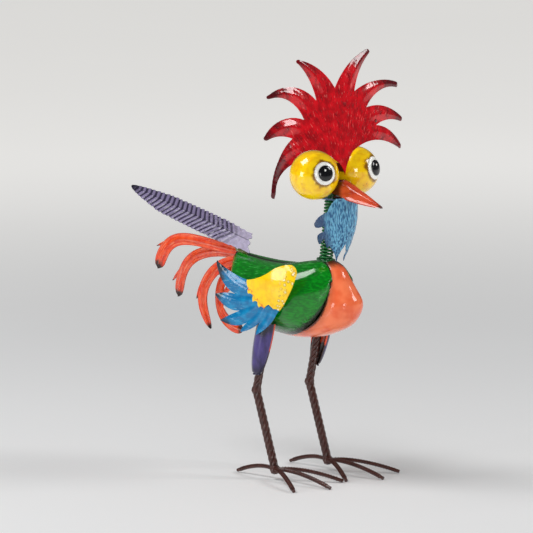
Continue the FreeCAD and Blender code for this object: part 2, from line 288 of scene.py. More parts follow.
def sheet_stock(name: str, low: Point2, high: Point2, cell: float, rise: Callable[[float, float], float],
                gauge: float) -> bpy.types.Object:
    """A pressed sheet over a rectangle of the XY plane, its height given by rise(x, y).

    Args:
        name: the piece's name.
        low: the rectangle's low corner.
        high: its high corner.
        cell: about how far apart its points are.
        rise: the height of the sheet at a place.
        gauge: the sheet's thickness.

    Returns:
        A closed sheet.
    """
    wide, deep = high[0] - low[0], high[1] - low[1]
    columns, rows = max(2, round(wide / cell)), max(2, round(deep / cell))
    bpy.ops.mesh.primitive_grid_add(x_subdivisions=columns, y_subdivisions=rows, size=1)
    sheet = Bench.added(name)
    Bench.place(sheet, Matrix.Translation(((low[0] + high[0]) / 2, (low[1] + high[1]) / 2, 0))
                @ Matrix.Diagonal((wide, deep, 1, 1)))
    for vert in sheet.data.vertices:
        vert.co.z = rise(vert.co.x, vert.co.y)
    Bench.modify(sheet, "SOLIDIFY", thickness=gauge, offset=0, use_even_offset=True)
    return sheet


def stamped(name: str, points: Sequence[Point2], cell: float, rise: Callable[[float, float], float],
            gauge: float) -> bpy.types.Object:
    """Sheet metal stamped to an outline and pressed to shape."""
    xs, ys = [p[0] for p in points], [p[1] for p in points]
    margin = 2 * cell
    sheet = sheet_stock(name, (min(xs) - margin, min(ys) - margin), (max(xs) + margin, max(ys) + margin),
                        cell, rise, gauge)
    Bench.cut(sheet, punch(name + "_punch", points, 80.0), "INTERSECT")
    return sheet


def formed(name: str, across: int, along: int, place: Callable[[float, float], Point3], gauge: float,
           offset: float = 0.0) -> bpy.types.Object:
    """A sheet formed over a shape: a flat grid whose points are laid at place(u, v), both from 0 to 1.

    Args:
        name: the piece's name.
        across: faces in the direction of u.
        along: faces in the direction of v.
        place: where a point of the sheet lies.
        gauge: the sheet's thickness.
        offset: which side of the shape it thickens to, from -1 to 1.

    Returns:
        A closed sheet that keeps its flat coordinates as its UV map.
    """
    bpy.ops.mesh.primitive_grid_add(x_subdivisions=across, y_subdivisions=along, size=1)
    sheet = Bench.added(name)
    for vert in sheet.data.vertices:
        vert.co = place(min(1.0, max(0.0, vert.co.x + 0.5)), min(1.0, max(0.0, vert.co.y + 0.5)))
    if gauge:
        Bench.modify(sheet, "SOLIDIFY", thickness=gauge, offset=offset)
    return sheet


def through(rows: Sequence[Sequence[float]], t: float) -> list[float]:
    """Values on a smooth course through rows of numbers, t going from 0 at the first to 1 at the last."""
    last = len(rows) - 1
    at = t * last
    i = min(int(at), last - 1)
    f = at - i
    before, start, end, after = rows[max(0, i - 1)], rows[i], rows[i + 1], rows[min(last, i + 2)]
    return [0.5 * (2 * b + (c - a) * f + (2 * a - 5 * b + 4 * c - d) * f * f
                   + (3 * b - a - 3 * c + d) * f ** 3)
            for a, b, c, d in zip(before, start, end, after)]


def on_arc(start: Point2, via: Point2, end: Point2, t: float) -> Point2:
    """A place on the circle through three points, t going from 0 at the start to 1 at the end."""
    steps = 1000
    return arc_points(start, via, end, steps)[min(steps - 1, round(t * steps))] if t < 1 else end


@dataclass(frozen=True)
class Blade:
    """A long thin leaf of sheet metal, creased along its midrib and bent along a spine."""

    spine: tuple[Point2, ...]
    width: float
    crease: float = 1.2
    gauge: float = 1.0
    root: float = 0.45
    point: float = 2.4
    flare: float = 0.0
    rows: int = 44

    def half_width(self, t: float) -> float:
        """Half the width at a share t of the length: swelling from the root, drawn in to the tip."""
        swell = min(1.0, self.root + (1 - self.root) * math.sin(min(1.0, t / 0.45) * math.pi / 2))
        return self.width / 2 * swell * (1 + self.flare * t ** 3) * max(0.02, 1 - t ** self.point) ** 0.6

    def build(self, name: str) -> bpy.types.Object:
        """Make the blade in the XY plane, its front towards +Z."""
        curve = bpy.data.curves.new(name + "_spine", "CURVE")
        curve.dimensions = "2D"
        curve.resolution_u = 24
        spline = curve.splines.new("NURBS")
        spline.points.add(len(self.spine) - 1)
        for knot, (x, y) in zip(spline.points, self.spine):
            knot.co = (x, y, 0, 1)
        spline.order_u = min(4, len(self.spine))
        spline.use_endpoint_u = True
        length = spline.calc_length()
        path = bpy.data.objects.new(name + "_spine", curve)
        bpy.context.collection.objects.link(path)
        bpy.ops.mesh.primitive_grid_add(x_subdivisions=6, y_subdivisions=self.rows, size=2)
        leaf = Bench.added(name)
        Bench.place(leaf, Matrix.Diagonal((1, length / 2, 1, 1)) @ Matrix.Translation((0, 1, 0)))
        Bench.edit(leaf)
        for row in range(self.rows + 1):
            t = row / self.rows
            half = self.half_width(t)
            Bench.select_points(leaf, lambda co, y=t * length: abs(co.y - y) < 0.01)
            bpy.ops.transform.resize(value=(half, 1, 1), center_override=(0, t * length, 0))
        Bench.select_points(leaf, lambda co: abs(co.x) < 0.001)
        bpy.ops.transform.translate(value=(0, 0, self.crease))
        Bench.done()
        Bench.place(leaf, Matrix.Rotation(math.pi / 2, 4, "Y"))
        Bench.modify(leaf, "CURVE", object=path, deform_axis="POS_Y")
        Bench.modify(leaf, "SOLIDIFY", thickness=self.gauge, offset=0)
        bpy.data.objects.remove(path, do_unlink=True)
        return leaf


# ---------------------------------------------------------------- shader graphs


class Sock:
    """One output of a shader graph, with arithmetic."""

    def __init__(self, graph: "Graph", socket: bpy.types.NodeSocket) -> None:
        """Keep the graph and the socket."""
        self.graph = graph
        self.socket = socket

    def __add__(self, other: "Sock | float") -> "Sock":
        """self + other"""
        return self.graph.math("ADD", self, other)

    __radd__ = __add__

    def __mul__(self, other: "Sock | float") -> "Sock":
        """self * other"""
        return self.graph.math("MULTIPLY", self, other)

    __rmul__ = __mul__

    def __sub__(self, other: "Sock | float") -> "Sock":
        """self - other"""
        return self.graph.math("SUBTRACT", self, other)

    def __rsub__(self, other: "Sock | float") -> "Sock":
        """other - self"""
        return self.graph.math("SUBTRACT", other, self)

    def __truediv__(self, other: "Sock | float") -> "Sock":
        """self / other"""
        return self.graph.math("DIVIDE", self, other)

    def __pow__(self, other: float) -> "Sock":
        """self ** other"""
        return self.graph.math("POWER", self, other)

    def call(self, operation: str, other: "Sock | float | None" = None) -> "Sock":
        """Any other Math operation with self first."""
        return self.graph.math(operation, self, other)

    def ramp(self, low: float, high: float) -> "Sock":
        """0 up to low, 1 from high, smooth between; the other way round where low is above high."""
        start, end, swap = (low, high, False) if low < high else (high, low, True)
        share = self.graph.add("MapRange", {"interpolation_type": "SMOOTHSTEP"},
                               {"Value": self, "From Min": start, "From Max": end})
        return 1 - share if swap else share


class Graph:
    """A material's nodes."""

    def __init__(self, name: str) -> None:
        """Start an empty material with a principled shader."""
        self.material = bpy.data.materials.new(name)
        self.material.use_nodes = True
        self.tree = self.material.node_tree
        self.shader = self.tree.nodes["Principled BSDF"]

    def add(self, kind: str, settings: dict[str, object] | None = None,
            inputs: dict[str | int, object] | None = None, output: str | int = 0) -> Sock:
        """Add a node.

        Args:
            kind: the node's type, without ShaderNode.
            settings: attributes that are set first.
            inputs: values or links, by socket name or number.
            output: the output that is wanted.

        Returns:
            That output.
        """
        node = self.tree.nodes.new("ShaderNode" + kind)
        for key, value in (settings or {}).items():
            setattr(node, key, value)
        for key, value in (inputs or {}).items():
            self.feed(node.inputs[key], value)
        return Sock(self, node.outputs[output])

    def feed(self, socket: bpy.types.NodeSocket, value: object) -> None:
        """Link or set one input."""
        if isinstance(value, Sock):
            self.tree.links.new(value.socket, socket)
        elif isinstance(value, tuple) and len(value) == 3 and len(socket.default_value) == 4:
            socket.default_value = (*value, 1.0)
        else:
            socket.default_value = value

    def math(self, operation: str, first: Sock | float, second: Sock | float | None = None) -> Sock:
        """A Math node on two values."""
        inputs: dict[str | int, object] = {0: first}
        if second is not None:
            inputs[1] = second
        return self.add("Math", {"operation": operation}, inputs)

    def mix(self, share: Sock | float, first: object, second: object) -> Sock:
        """A blend of two colours."""
        return self.add("Mix", {"data_type": "RGBA"}, {0: share, 6: first, 7: second}, 2)

    def place(self, scale: Point3 = (1, 1, 1), turn: Point3 = (0, 0, 0), about: Point3 = (0, 0, 0)) -> Sock:
        """Object coordinates, turned and stretched about a place in millimetres."""
        centred = self.add("VectorMath", {"operation": "SUBTRACT"},
                           {0: self.add("TexCoord", output="Object"), 1: tuple(c * MM for c in about)})
        return self.add("Mapping", None, {"Vector": centred, "Rotation": tuple(math.radians(a) for a in turn),
                                          "Scale": scale})

    def axes(self, about: Point3 = (0, 0, 0)) -> tuple[Sock, Sock, Sock]:
        """X, Y and Z in millimetres from a place."""
        centred = self.add("VectorMath", {"operation": "SUBTRACT"},
                           {0: self.add("TexCoord", output="Object"), 1: tuple(c * MM for c in about)})
        split = self.add("SeparateXYZ", None, {0: centred})
        outputs = split.socket.node.outputs
        return tuple(Sock(self, outputs[i]) / MM for i in range(3))

    def uv(self) -> tuple[Sock, Sock]:
        """The piece's own coordinates: across and along."""
        split = self.add("SeparateXYZ", None, {0: self.add("TexCoord", output="UV")})
        outputs = split.socket.node.outputs
        return Sock(self, outputs[0]), Sock(self, outputs[1])

    def noise(self, size_mm: float, vector: Sock | None = None, detail: float = 3.0,
              warp: float = 0.0) -> Sock:
        """Cloudy noise whose features are about size_mm across."""
        return self.add("TexNoise", None, {"Vector": vector or self.place(), "Scale": 1 / (size_mm * MM),
                                           "Detail": detail, "Distortion": warp})

    def cells(self, size_mm: float, vector: Sock | None = None) -> Sock:
        """Distance to the nearest of scattered points about size_mm apart."""
        return self.add("TexVoronoi", None, {"Vector": vector or self.place(), "Scale": 1 / (size_mm * MM)})

    def bump(self, height: Sock, depth_mm: float, strength: float = 1.0) -> None:
        """Raise the surface by a height of 0 to 1 times depth_mm."""
        normal = self.add("Bump", None, {"Height": height, "Distance": depth_mm * MM, "Strength": strength})
        self.feed(self.shader.inputs["Normal"], normal)

    def enamel(self, colour: object, roughness: object = 0.22, coat: float = 0.6) -> bpy.types.Material:
        """Finish the material as glossy enamel of one colour or a graph of colours."""
        self.feed(self.shader.inputs["Base Color"], colour)
        self.feed(self.shader.inputs["Roughness"], roughness)
        self.shader.inputs["Coat Weight"].default_value = coat
        self.shader.inputs["Coat Roughness"].default_value = 0.05
        self.shader.inputs["Specular IOR Level"].default_value = 0.2
        return self.material


Colour = tuple[float, float, float]


def srgb(red: int, green: int, blue: int) -> Colour:
    """Linear values of an sRGB colour given in 0 to 255."""
    return tuple(((c / 255 + 0.055) / 1.055) ** 2.4 if c > 10 else c / 255 / 12.92
                 for c in (red, green, blue))


@dataclass(frozen=True)
class SprayedEnamel:
    """Enamel sprayed over steel, shaded with a darker coat in clouds and brush streaks."""

    name: str
    colour: Colour
    shade: Colour
    cloud_mm: float = 14.0
    streak: Point3 = (1, 1, 1)
    turn: Point3 = (0, 0, 0)
    shade_share: float = 0.35
    hammer_mm: float = 0.0
    hammer_depth: float = 0.5
    roughness: float = 0.2

    def material(self) -> bpy.types.Material:
        """Build the material."""
        g = Graph(self.name)
        clouds = g.noise(self.cloud_mm, g.place(self.streak, self.turn), 5.0).ramp(0.42, 0.72)
        fine = g.noise(self.cloud_mm / 6, g.place(self.streak, self.turn), 4.0).ramp(0.45, 0.75)
        share = (clouds * 0.7 + fine * 0.3) * self.shade_share
        relief = g.noise(self.cloud_mm / 5, g.place(self.streak, self.turn), 3.0) * 0.4
        if self.hammer_mm:
            relief = relief + g.cells(self.hammer_mm) * 1.2
        g.bump(relief, self.hammer_depth)
        rough = g.noise(8.0) * 0.12 + (self.roughness - 0.05)
        return g.enamel(g.mix(share, self.colour, self.shade), rough)


@dataclass(frozen=True)
class ShellEnamel:
    """The body's green: brushed diagonally, with pale brush streaks painted as highlights on its top, grey
    towards the belly, and dark along its seams, partly burnt and partly painted shade between the parts.
    """

    def material(self) -> bpy.types.Material:
        """Build the material."""
        g = Graph("green_enamel")
        round_it, along = g.uv()
        _x, y, z = g.axes()
        ragged = g.noise(4.0, detail=3.0)
        brush = g.noise(3.4, g.place((1, 0.3, 1.6), (-38, 0, 0)), 4.0)
        body = g.mix(brush.ramp(0.4, 0.62), srgb(0, 104, 18), srgb(2, 132, 22))
        # pale brush streaks kept to the top: partly brush marks, partly painted highlight where the top
        # catches the light
        light = brush.ramp(0.6, 0.68) * (z + y * 0.1).ramp(280, 306)
        body = g.mix(light * 0.5, body, srgb(98, 168, 110))
        belly = (z + y * -0.25 + g.noise(22.0) * 18).ramp(250, 222)
        body = g.mix(belly * 0.7, body, srgb(66, 92, 72))
        # dark along the seams with the breast and the other shell: partly burnt edges, partly painted shade
        # between the parts
        low = (round_it + ragged * 0.08).ramp(0.95, 1.0)
        front = (along + ragged * 0.06).ramp(0.95, 0.99)
        rear = (along - ragged * 0.04).ramp(0.035, 0.0)
        back = (round_it - ragged * 0.03).ramp(0.035, 0.0)
        dark = low.call("MAXIMUM", front).call("MAXIMUM", rear).call("MAXIMUM", back)
        colour = g.mix(dark * 0.93, body, srgb(24, 18, 14))
        stitches = g.cells(3.6) * (round_it.ramp(0.84, 0.93)).call("MAXIMUM", along.ramp(0.88, 0.95))
        g.bump(brush * 0.2 + stitches * 2.2, 1.2)
        return g.enamel(colour, dark * 0.25 + 0.14, 0.6)


@dataclass(frozen=True)
class BreastEnamel:
    """The breast's salmon orange, mottled, with painted shade towards its sides and a dark hammered edge."""

    def material(self) -> bpy.types.Material:
        """Build the material."""
        g = Graph("orange_enamel")
        across, along = g.uv()
        clouds = g.noise(22.0, detail=2.0)
        ragged = g.noise(3.0, detail=3.0)
        body = g.mix(clouds.ramp(0.35, 0.7), srgb(240, 122, 78), srgb(226, 92, 50))
        off = (across - 0.5).call("ABSOLUTE") * 2
        # painted shade: the breast darkens softly towards both sides, by its seams with the shells
        soft = (off + clouds * 0.1).ramp(0.66, 0.98) * 0.45
        rim = (off + ragged * 0.1).ramp(0.95, 1.02)
        top = (along - ragged * 0.05).ramp(0.1, 0.0)
        colour = g.mix(soft, body, srgb(150, 70, 44))
        colour = g.mix(rim.call("MAXIMUM", top) * 0.9, colour, srgb(36, 20, 12))
        g.bump(g.cells(3.0) * off.ramp(0.8, 0.92) + clouds * 0.1, 0.8)
        return g.enamel(colour, 0.2, 0.5)


@dataclass(frozen=True)
class FlameEnamel:
    """The plumes' orange red, brushed lengthwise, with paler streaks of painted highlight, in each blade's
    own coordinates.
    """

    def material(self) -> bpy.types.Material:
        """Build the material."""
        g = Graph("flame_enamel")
        across, along = g.uv()
        off = (across - 0.5).call("ABSOLUTE") * 2
        wobble = g.noise(9.0, detail=4.0)
        lengthwise = g.add("CombineXYZ", None, {0: across * 5.0, 1: along * 3.0, 2: wobble * 0.6})
        streak = g.add("TexNoise", None, {"Vector": lengthwise, "Scale": 2.0, "Detail": 3.0})
        body = g.mix(wobble.ramp(0.35, 0.68), srgb(218, 56, 18), srgb(232, 82, 34))
        # paler lengthwise streaks: painted highlights
        body = g.mix(streak.ramp(0.56, 0.66) * 0.55, body, srgb(244, 150, 112))
        body = g.mix(streak.ramp(0.42, 0.34) * 0.5, body, srgb(150, 30, 10))
        rim = (off + wobble * 0.35).ramp(1.0, 1.25) * 0.5
        burnt = (along + wobble * 0.12).ramp(0.98, 1.04)
        colour = g.mix(burnt.call("MAXIMUM", rim), body, srgb(40, 12, 8))
        g.bump(streak + off.ramp(0.14, 0.0) * 0.6, 0.6)
        return g.enamel(colour, wobble * 0.15 + 0.16, 0.7)


@dataclass(frozen=True)
class BlueEnamel:
    """The wings' blue, with paler streaks and dark feather tips."""

    def material(self) -> bpy.types.Material:
        """Build the material."""
        g = Graph("blue_enamel")
        _x, y, z = g.axes((0, -6, 262))
        reach = (y * y + z * z * 0.9) ** 0.5
        brushed = g.noise(7.0, g.place((1, 0.5, 1)), 4.0)
        body = g.mix(brushed.ramp(0.4, 0.7), srgb(0, 106, 158), srgb(10, 134, 184))
        streak = g.noise(2.6, g.place((1, 0.3, 1.4), (35, 0, 0)), 3.0)
        body = g.mix(streak.ramp(0.58, 0.64) * reach.ramp(40, 64) * 0.4, body, srgb(126, 184, 210))
        burnt = (reach + brushed * 24 - y * 0.3).ramp(66, 78)
        colour = g.mix(burnt * 0.95, body, srgb(8, 16, 32))
        g.bump(brushed + streak * 0.4, 0.5)
        return g.enamel(colour, 0.2, 0.6)


@dataclass(frozen=True)
class RibbedEnamel:
    """The long feather's grey purple: a rib pressed from the midrib to each tooth, with a painted highlight
    on its crest and painted shade between ribs.
    """

    ribs: float

    def material(self) -> bpy.types.Material:
        """Build the material."""
        g = Graph("grey_purple_enamel")
        across, along = g.uv()
        off = (across - 0.5).call("ABSOLUTE") * 2
        wobble = g.noise(5.0, detail=4.0)
        rib = ((along * self.ribs + wobble * 0.12) * math.tau).call("SINE") * 0.5 + 0.5
        # painted light on the pressed ribs: pale painted highlight on each crest, painted shade between them
        body = g.mix(rib.ramp(0.3, 0.75), srgb(50, 44, 68), srgb(122, 112, 144))
        # paler patches towards the root
        pale_root_patches = (wobble.ramp(0.5, 0.66) * along.ramp(0.5, 0.1)).call("MINIMUM", 1.0)
        body = g.mix(pale_root_patches * 0.55, body, srgb(190, 184, 204))
        body = g.mix((along + wobble * 0.06).ramp(0.2, 0.08) * 0.8, body, srgb(176, 168, 192))
        tip = (along + wobble * 0.05).ramp(0.92, 1.0)
        spine = off.ramp(0.07, 0.02) * 0.6
        colour = g.mix(tip.call("MAXIMUM", spine) * 0.9, body, srgb(18, 16, 30))
        g.bump(rib * 0.6 + wobble * 0.2, 0.8)
        return g.enamel(colour, 0.25, 0.4)


@dataclass(frozen=True)
class CrestEnamel:
    """The crest's red, embossed with strokes that fan out from between the eyes, with painted shade in the
    pressed strokes and pale painted glints, maroon at the horn tips.
    """

    foot: Point3

    def material(self) -> bpy.types.Material:
        """Build the material."""
        g = Graph("red_enamel")
        x, y, z = g.axes(self.foot)
        up = (z + 30)
        angle = x.call("ARCTAN2", up)
        reach = (x * x + up * up) ** 0.5
        stroke_place = g.add("CombineXYZ", None, {0: angle * 1.6, 1: reach * 0.0022, 2: 0.0})
        stroke = g.add("TexNoise", None, {"Vector": stroke_place, "Scale": 26.0, "Detail": 3.0,
                                          "Distortion": 0.3})
        short_place = g.add("CombineXYZ", None, {0: angle * 2.2, 1: reach * 0.0034, 2: 3.0})
        short = g.add("TexNoise", None, {"Vector": short_place, "Scale": 22.0, "Detail": 2.0})
        # painted light of the embossed strokes: painted shade darkens the pressed strokes, and pale painted
        # glints lie among them
        hair = short.ramp(0.6, 0.66)
        glint = short.ramp(0.36, 0.31)
        mottle = g.noise(12.0, detail=4.0)
        body = g.mix(mottle.ramp(0.35, 0.7), srgb(206, 4, 22), srgb(158, 0, 14))
        body = g.mix(stroke.ramp(0.5, 0.7) * 0.3, body, srgb(130, 0, 12))
        body = g.mix(hair * 0.45, body, srgb(104, 0, 10))
        body = g.mix(glint * 0.42, body, srgb(236, 130, 122))
        wide = (x * x * 0.9 + (z - 66) * (z - 66) * 1.25) ** 0.5 + mottle * 40
        tips = wide.ramp(104, 152)
        colour = g.mix(tips * 0.88, body, srgb(58, 4, 14))
        g.bump(hair * -1.0 + mottle * 0.3, 1.1)
        return g.enamel(colour, 0.2, 0.7)


@dataclass(frozen=True)
class WingCoverEnamel:
    """The wing's yellow shoulder: dimples along its front, each with a painted glint and a painted shade
    ring, and an orange line along its jagged rear.
    """

    middle: Point3

    def material(self, name: str) -> bpy.types.Material:
        """Build the material under a name."""
        g = Graph(name)
        _x, y, z = g.axes(self.middle)
        mottle = g.noise(9.0, detail=4.0)
        body = g.mix(mottle.ramp(0.4, 0.75), srgb(250, 206, 0), srgb(238, 184, 0))
        rear = (y * 0.72 - z * 0.69) + (g.noise(7.0, detail=2.0) - 0.5) * 22
        line = (rear - 17).call("ABSOLUTE").ramp(1.5, 0.8)
        colour = g.mix(line * 0.85, body, srgb(226, 96, 22))
        ahead = (y * -1.0 - z * 0.35).ramp(22, 32)
        dots = g.cells(6.0)
        # the dimples along the front: a painted glint in each and a painted shade ring round it
        dimple_and_glint = dots.ramp(0.4, 0.15) * ahead
        colour = g.mix(dimple_and_glint * 0.75, colour, srgb(255, 248, 196))
        colour = g.mix((dots.ramp(0.5, 0.42) - dots.ramp(0.42, 0.36)) * ahead * 0.5, colour, srgb(130, 90, 0))
        g.bump(dimple_and_glint + mottle * 0.1, 1.6)
        return g.enamel(colour, 0.18, 0.6)


@dataclass(frozen=True)
class BallEnamel:
    """The eyes' yellow, with rusty marks round the ring and on the outer rim."""

    centre: Point3
    look: Point3

    def material(self, name: str) -> bpy.types.Material:
        """Build the material under a name."""
        g = Graph(name)
        mottle = g.noise(11.0, detail=5.0)
        body = g.mix(mottle.ramp(0.4, 0.75), srgb(246, 204, 4), srgb(228, 168, 0))
        x, y, z = g.axes(self.centre)
        ahead = (x * self.look[0] + y * self.look[1] + z * self.look[2]) + mottle * 9
        near_ring = ahead.ramp(32.5, 35.5)
        colour = g.mix(near_ring * 0.85, body, srgb(96, 50, 12))
        specks = g.noise(3.2, detail=2.0).ramp(0.64, 0.72) * mottle.ramp(0.5, 0.62)
        rim = ahead.ramp(2, -14) * 0.7
        colour = g.mix((specks * 0.55).call("MAXIMUM", rim * specks * 1.6), colour, srgb(120, 66, 10))
        g.bump(mottle * 0.3, 0.4)
        return g.enamel(colour, 0.13, 0.9)


@dataclass(frozen=True)
class BeakEnamel:
    """The beak's orange red, burnt brown at its root, along the ridge and at the tip."""

    def material(self) -> bpy.types.Material:
        """Build the material."""
        g = Graph("beak_orange")
        x, y, z = g.axes()
        clouds = g.noise(9.0, g.place((1, 0.4, 1)), 4.0)
        body = g.mix(clouds.ramp(0.35, 0.7), srgb(218, 84, 50), srgb(184, 54, 28))
        root = (y + clouds * 8 - z * 0.2).ramp(-176, -166)
        ridge = (x.call("ABSOLUTE") + clouds * 1.6).ramp(2.4, 0.9) * (z + y * 0.42).ramp(379, 384)
        tip = (y + clouds * 6).ramp(-146, -154)
        colour = g.mix(root.call("MAXIMUM", ridge).call("MAXIMUM", tip) * 0.9, body, srgb(48, 18, 12))
        g.bump(clouds, 0.35)
        return g.enamel(colour, 0.14, 0.8)


@dataclass(frozen=True)
class BeardEnamel:
    """The beard's blue, drawn in hair strokes, navy at the barbs and up the sides."""

    def material(self) -> bpy.types.Material:
        """Build the material."""
        g = Graph("beard_blue")
        x, y, z = g.axes()
        strands = g.noise(2.3, g.place((1.5, 1.5, 0.26)), 3.0, 0.4)
        locks = g.noise(7.0, g.place((1.3, 1.3, 0.3)), 3.0)
        body = g.mix(strands.ramp(0.4, 0.62), srgb(26, 92, 138), srgb(108, 176, 208))
        side = (y + locks * 14).ramp(-78, -62)
        low = (z + locks * 16).ramp(336, 322)
        body = g.mix(side.call("MAXIMUM", low) * 0.85, body, srgb(20, 40, 88))
        body = g.mix(strands.ramp(0.44, 0.36) * 0.5, body, srgb(24, 52, 92))
        g.bump(strands + locks * 0.5, 1.6)
        return g.enamel(body, 0.24, 0.5)


@dataclass(frozen=True)
class ThighEnamel:
    """The thigh shells: purple outside with a dark foot; inside, an orange patch at the top over dark brown
    painted shade in the hollow.
    """

    side: Side

    def material(self) -> bpy.types.Material:
        """Build the material."""
        g = Graph("purple_enamel_" + self.side.word)
        clouds = g.noise(14.0, g.place((1, 1, 0.4)), 4.0)
        _x, _y, z = g.axes()
        outer = g.mix(clouds.ramp(0.35, 0.7), srgb(66, 52, 120), srgb(24, 16, 56))
        outer = g.mix((z + clouds * 10).ramp(172, 158) * 0.75, outer, srgb(14, 10, 26))
        outer = g.mix((z + clouds * 12).ramp(208, 222) * 0.8, outer, srgb(12, 12, 18))
        # inside: orange paint at the top; below it, dark brown painted shade in the hollow of the shell
        inner = g.mix((z + clouds * 16).ramp(186, 194), srgb(44, 22, 18), srgb(222, 70, 26))
        facing = g.add("SeparateXYZ", None, {0: g.add("TexCoord", output="Normal")})
        g.bump(clouds, 0.4)
        return g.enamel(g.mix((facing * float(self.side.value)).ramp(-0.1, 0.1), inner, outer), 0.16, 0.7)


@dataclass(frozen=True)
class PlainGloss:
    """A small glossy part of one colour with faint wear."""

    name: str
    colour: Colour
    wear: Colour
    size_mm: float = 2.5
    share: float = 0.3

    def material(self) -> bpy.types.Material:
        """Build the material."""
        g = Graph(self.name)
        worn = g.noise(self.size_mm, detail=4.0).ramp(0.55, 0.75) * self.share
        g.bump(g.noise(self.size_mm) * 0.4, 0.25)
        return g.enamel(g.mix(worn, self.colour, self.wear), 0.2, 0.7)


# ---------------------------------------------------------------- sub-assemblies


@dataclass
class Torso:
    """The body: two domed side shells, the breast panel between them and the tail socket's weld."""

    gauge: float = 1.3
    # stations from the tail forwards: Y, top X and Z, widest X, bottom X and Z
    shell: tuple[tuple[float, ...], ...] = (
        (128, 0.4, 313, 15, 0.4, 270), (113, 0.4, 308, 32, 0.4, 250), (97, 0.4, 305, 42, 0.4, 236),
        (60, 0.4, 302, 55, 4, 213), (20, 0.4, 303, 61, 20, 205), (-20, 0.4, 311, 60, 29, 209),
        (-48, 8, 315, 48, 29, 226), (-64, 12, 311, 37, 28, 243), (-73, 15, 303, 29, 25, 259),
        (-78, 17, 294, 25, 21, 275), (-80, 18, 288, 22, 19, 281))
    # stations from the neck down and back: edge Y and Z, crown Y and Z, half width
    breast: tuple[tuple[float, ...], ...] = (
        (-56, 311, -62, 314, 9), (-69, 303, -78, 306, 14), (-75, 290, -88, 292, 18), (-77, 276, -98, 279, 21),
        (-76, 258, -110, 258, 26), (-69, 242, -103, 238, 29), (-56, 229, -84, 221, 30),
        (-32, 216, -42, 206, 30),
        (4, 208, 2, 201, 27), (44, 208, 44, 204, 13))

    def shell_place(self, u: float, v: float) -> Point3:
        """A place on the right shell: u round it from the back to the belly, v forwards."""
        y, top_x, top_z, wide, low_x, low_z = through(self.shell, v)
        x, z = on_arc((-top_x, top_z), (-wide, (top_z + low_z) / 2), (-low_x, low_z), u)
        return x, y, z

    def breast_place(self, u: float, v: float) -> Point3:
        """A place on the breast: u from its right edge to its left, v down from the neck."""
        edge_y, edge_z, crown_y, crown_z, half = through(self.breast, v)
        depth = math.hypot(crown_y - edge_y, crown_z - edge_z)
        x, out = on_arc((-half, 0), (0, depth), (half, 0), u)
        share = out / depth
        return x, edge_y + (crown_y - edge_y) * share, edge_z + (crown_z - edge_z) * share

    def weld(self, name: str, node: str, paint: bpy.types.Material) -> None:
        """A lumpy weld in place of a round socket."""
        low, high = box_mm(node)
        bpy.ops.mesh.primitive_ico_sphere_add(subdivisions=5, radius=1)
        lump = Bench.added(name)
        Bench.place(lump, Matrix.Diagonal((6.5, (high.y - low.y) / 2, 7.0, 1)))
        clouds = bpy.data.textures.new(name, "CLOUDS")
        clouds.noise_scale = 5.0
        Bench.modify(lump, "DISPLACE", texture=clouds, strength=5.0, mid_level=0.6)
        bpy.data.textures.remove(clouds)
        Bench.place(lump, Matrix.Translation((low + high) / 2) @ Matrix.Rotation(math.radians(21), 4, "X"))
        Bench.finish(lump, paint, "torso", [node], "brass_weld", 60)

    def build(self) -> None:
        """Make and paint the body."""
        right = formed("body_shell_right_skin", 48, 96, self.shell_place, self.gauge, -1)
        left = Bench.mirrored(right, "body_shell_left_skin")
        green = ShellEnamel().material()
        for side, piece in ((Side.RIGHT, right), (Side.LEFT, left)):
            Bench.finish(piece, green, "torso", ["body_shell_" + side.word], "green_enamel")
        breast = formed("breast_panel_skin", 48, 96, self.breast_place, self.gauge, -1)
        Bench.finish(breast, BreastEnamel().material(), "torso", ["breast_panel"], "orange_enamel")
        brass = PlainGloss("weld_brass", srgb(108, 112, 62), srgb(50, 46, 26), 3.0, 0.8).material()
        self.weld("tail_socket_weld", "tail_socket", brass)


# from the side plane's (Y, Z) drawn as (x, y): x becomes Y, y becomes Z and the front turns to -X
SIDE_PLANE = Matrix(((0, 0, -1, 0), (1, 0, 0, 0), (0, 1, 0, 0), (0, 0, 0, 1)))


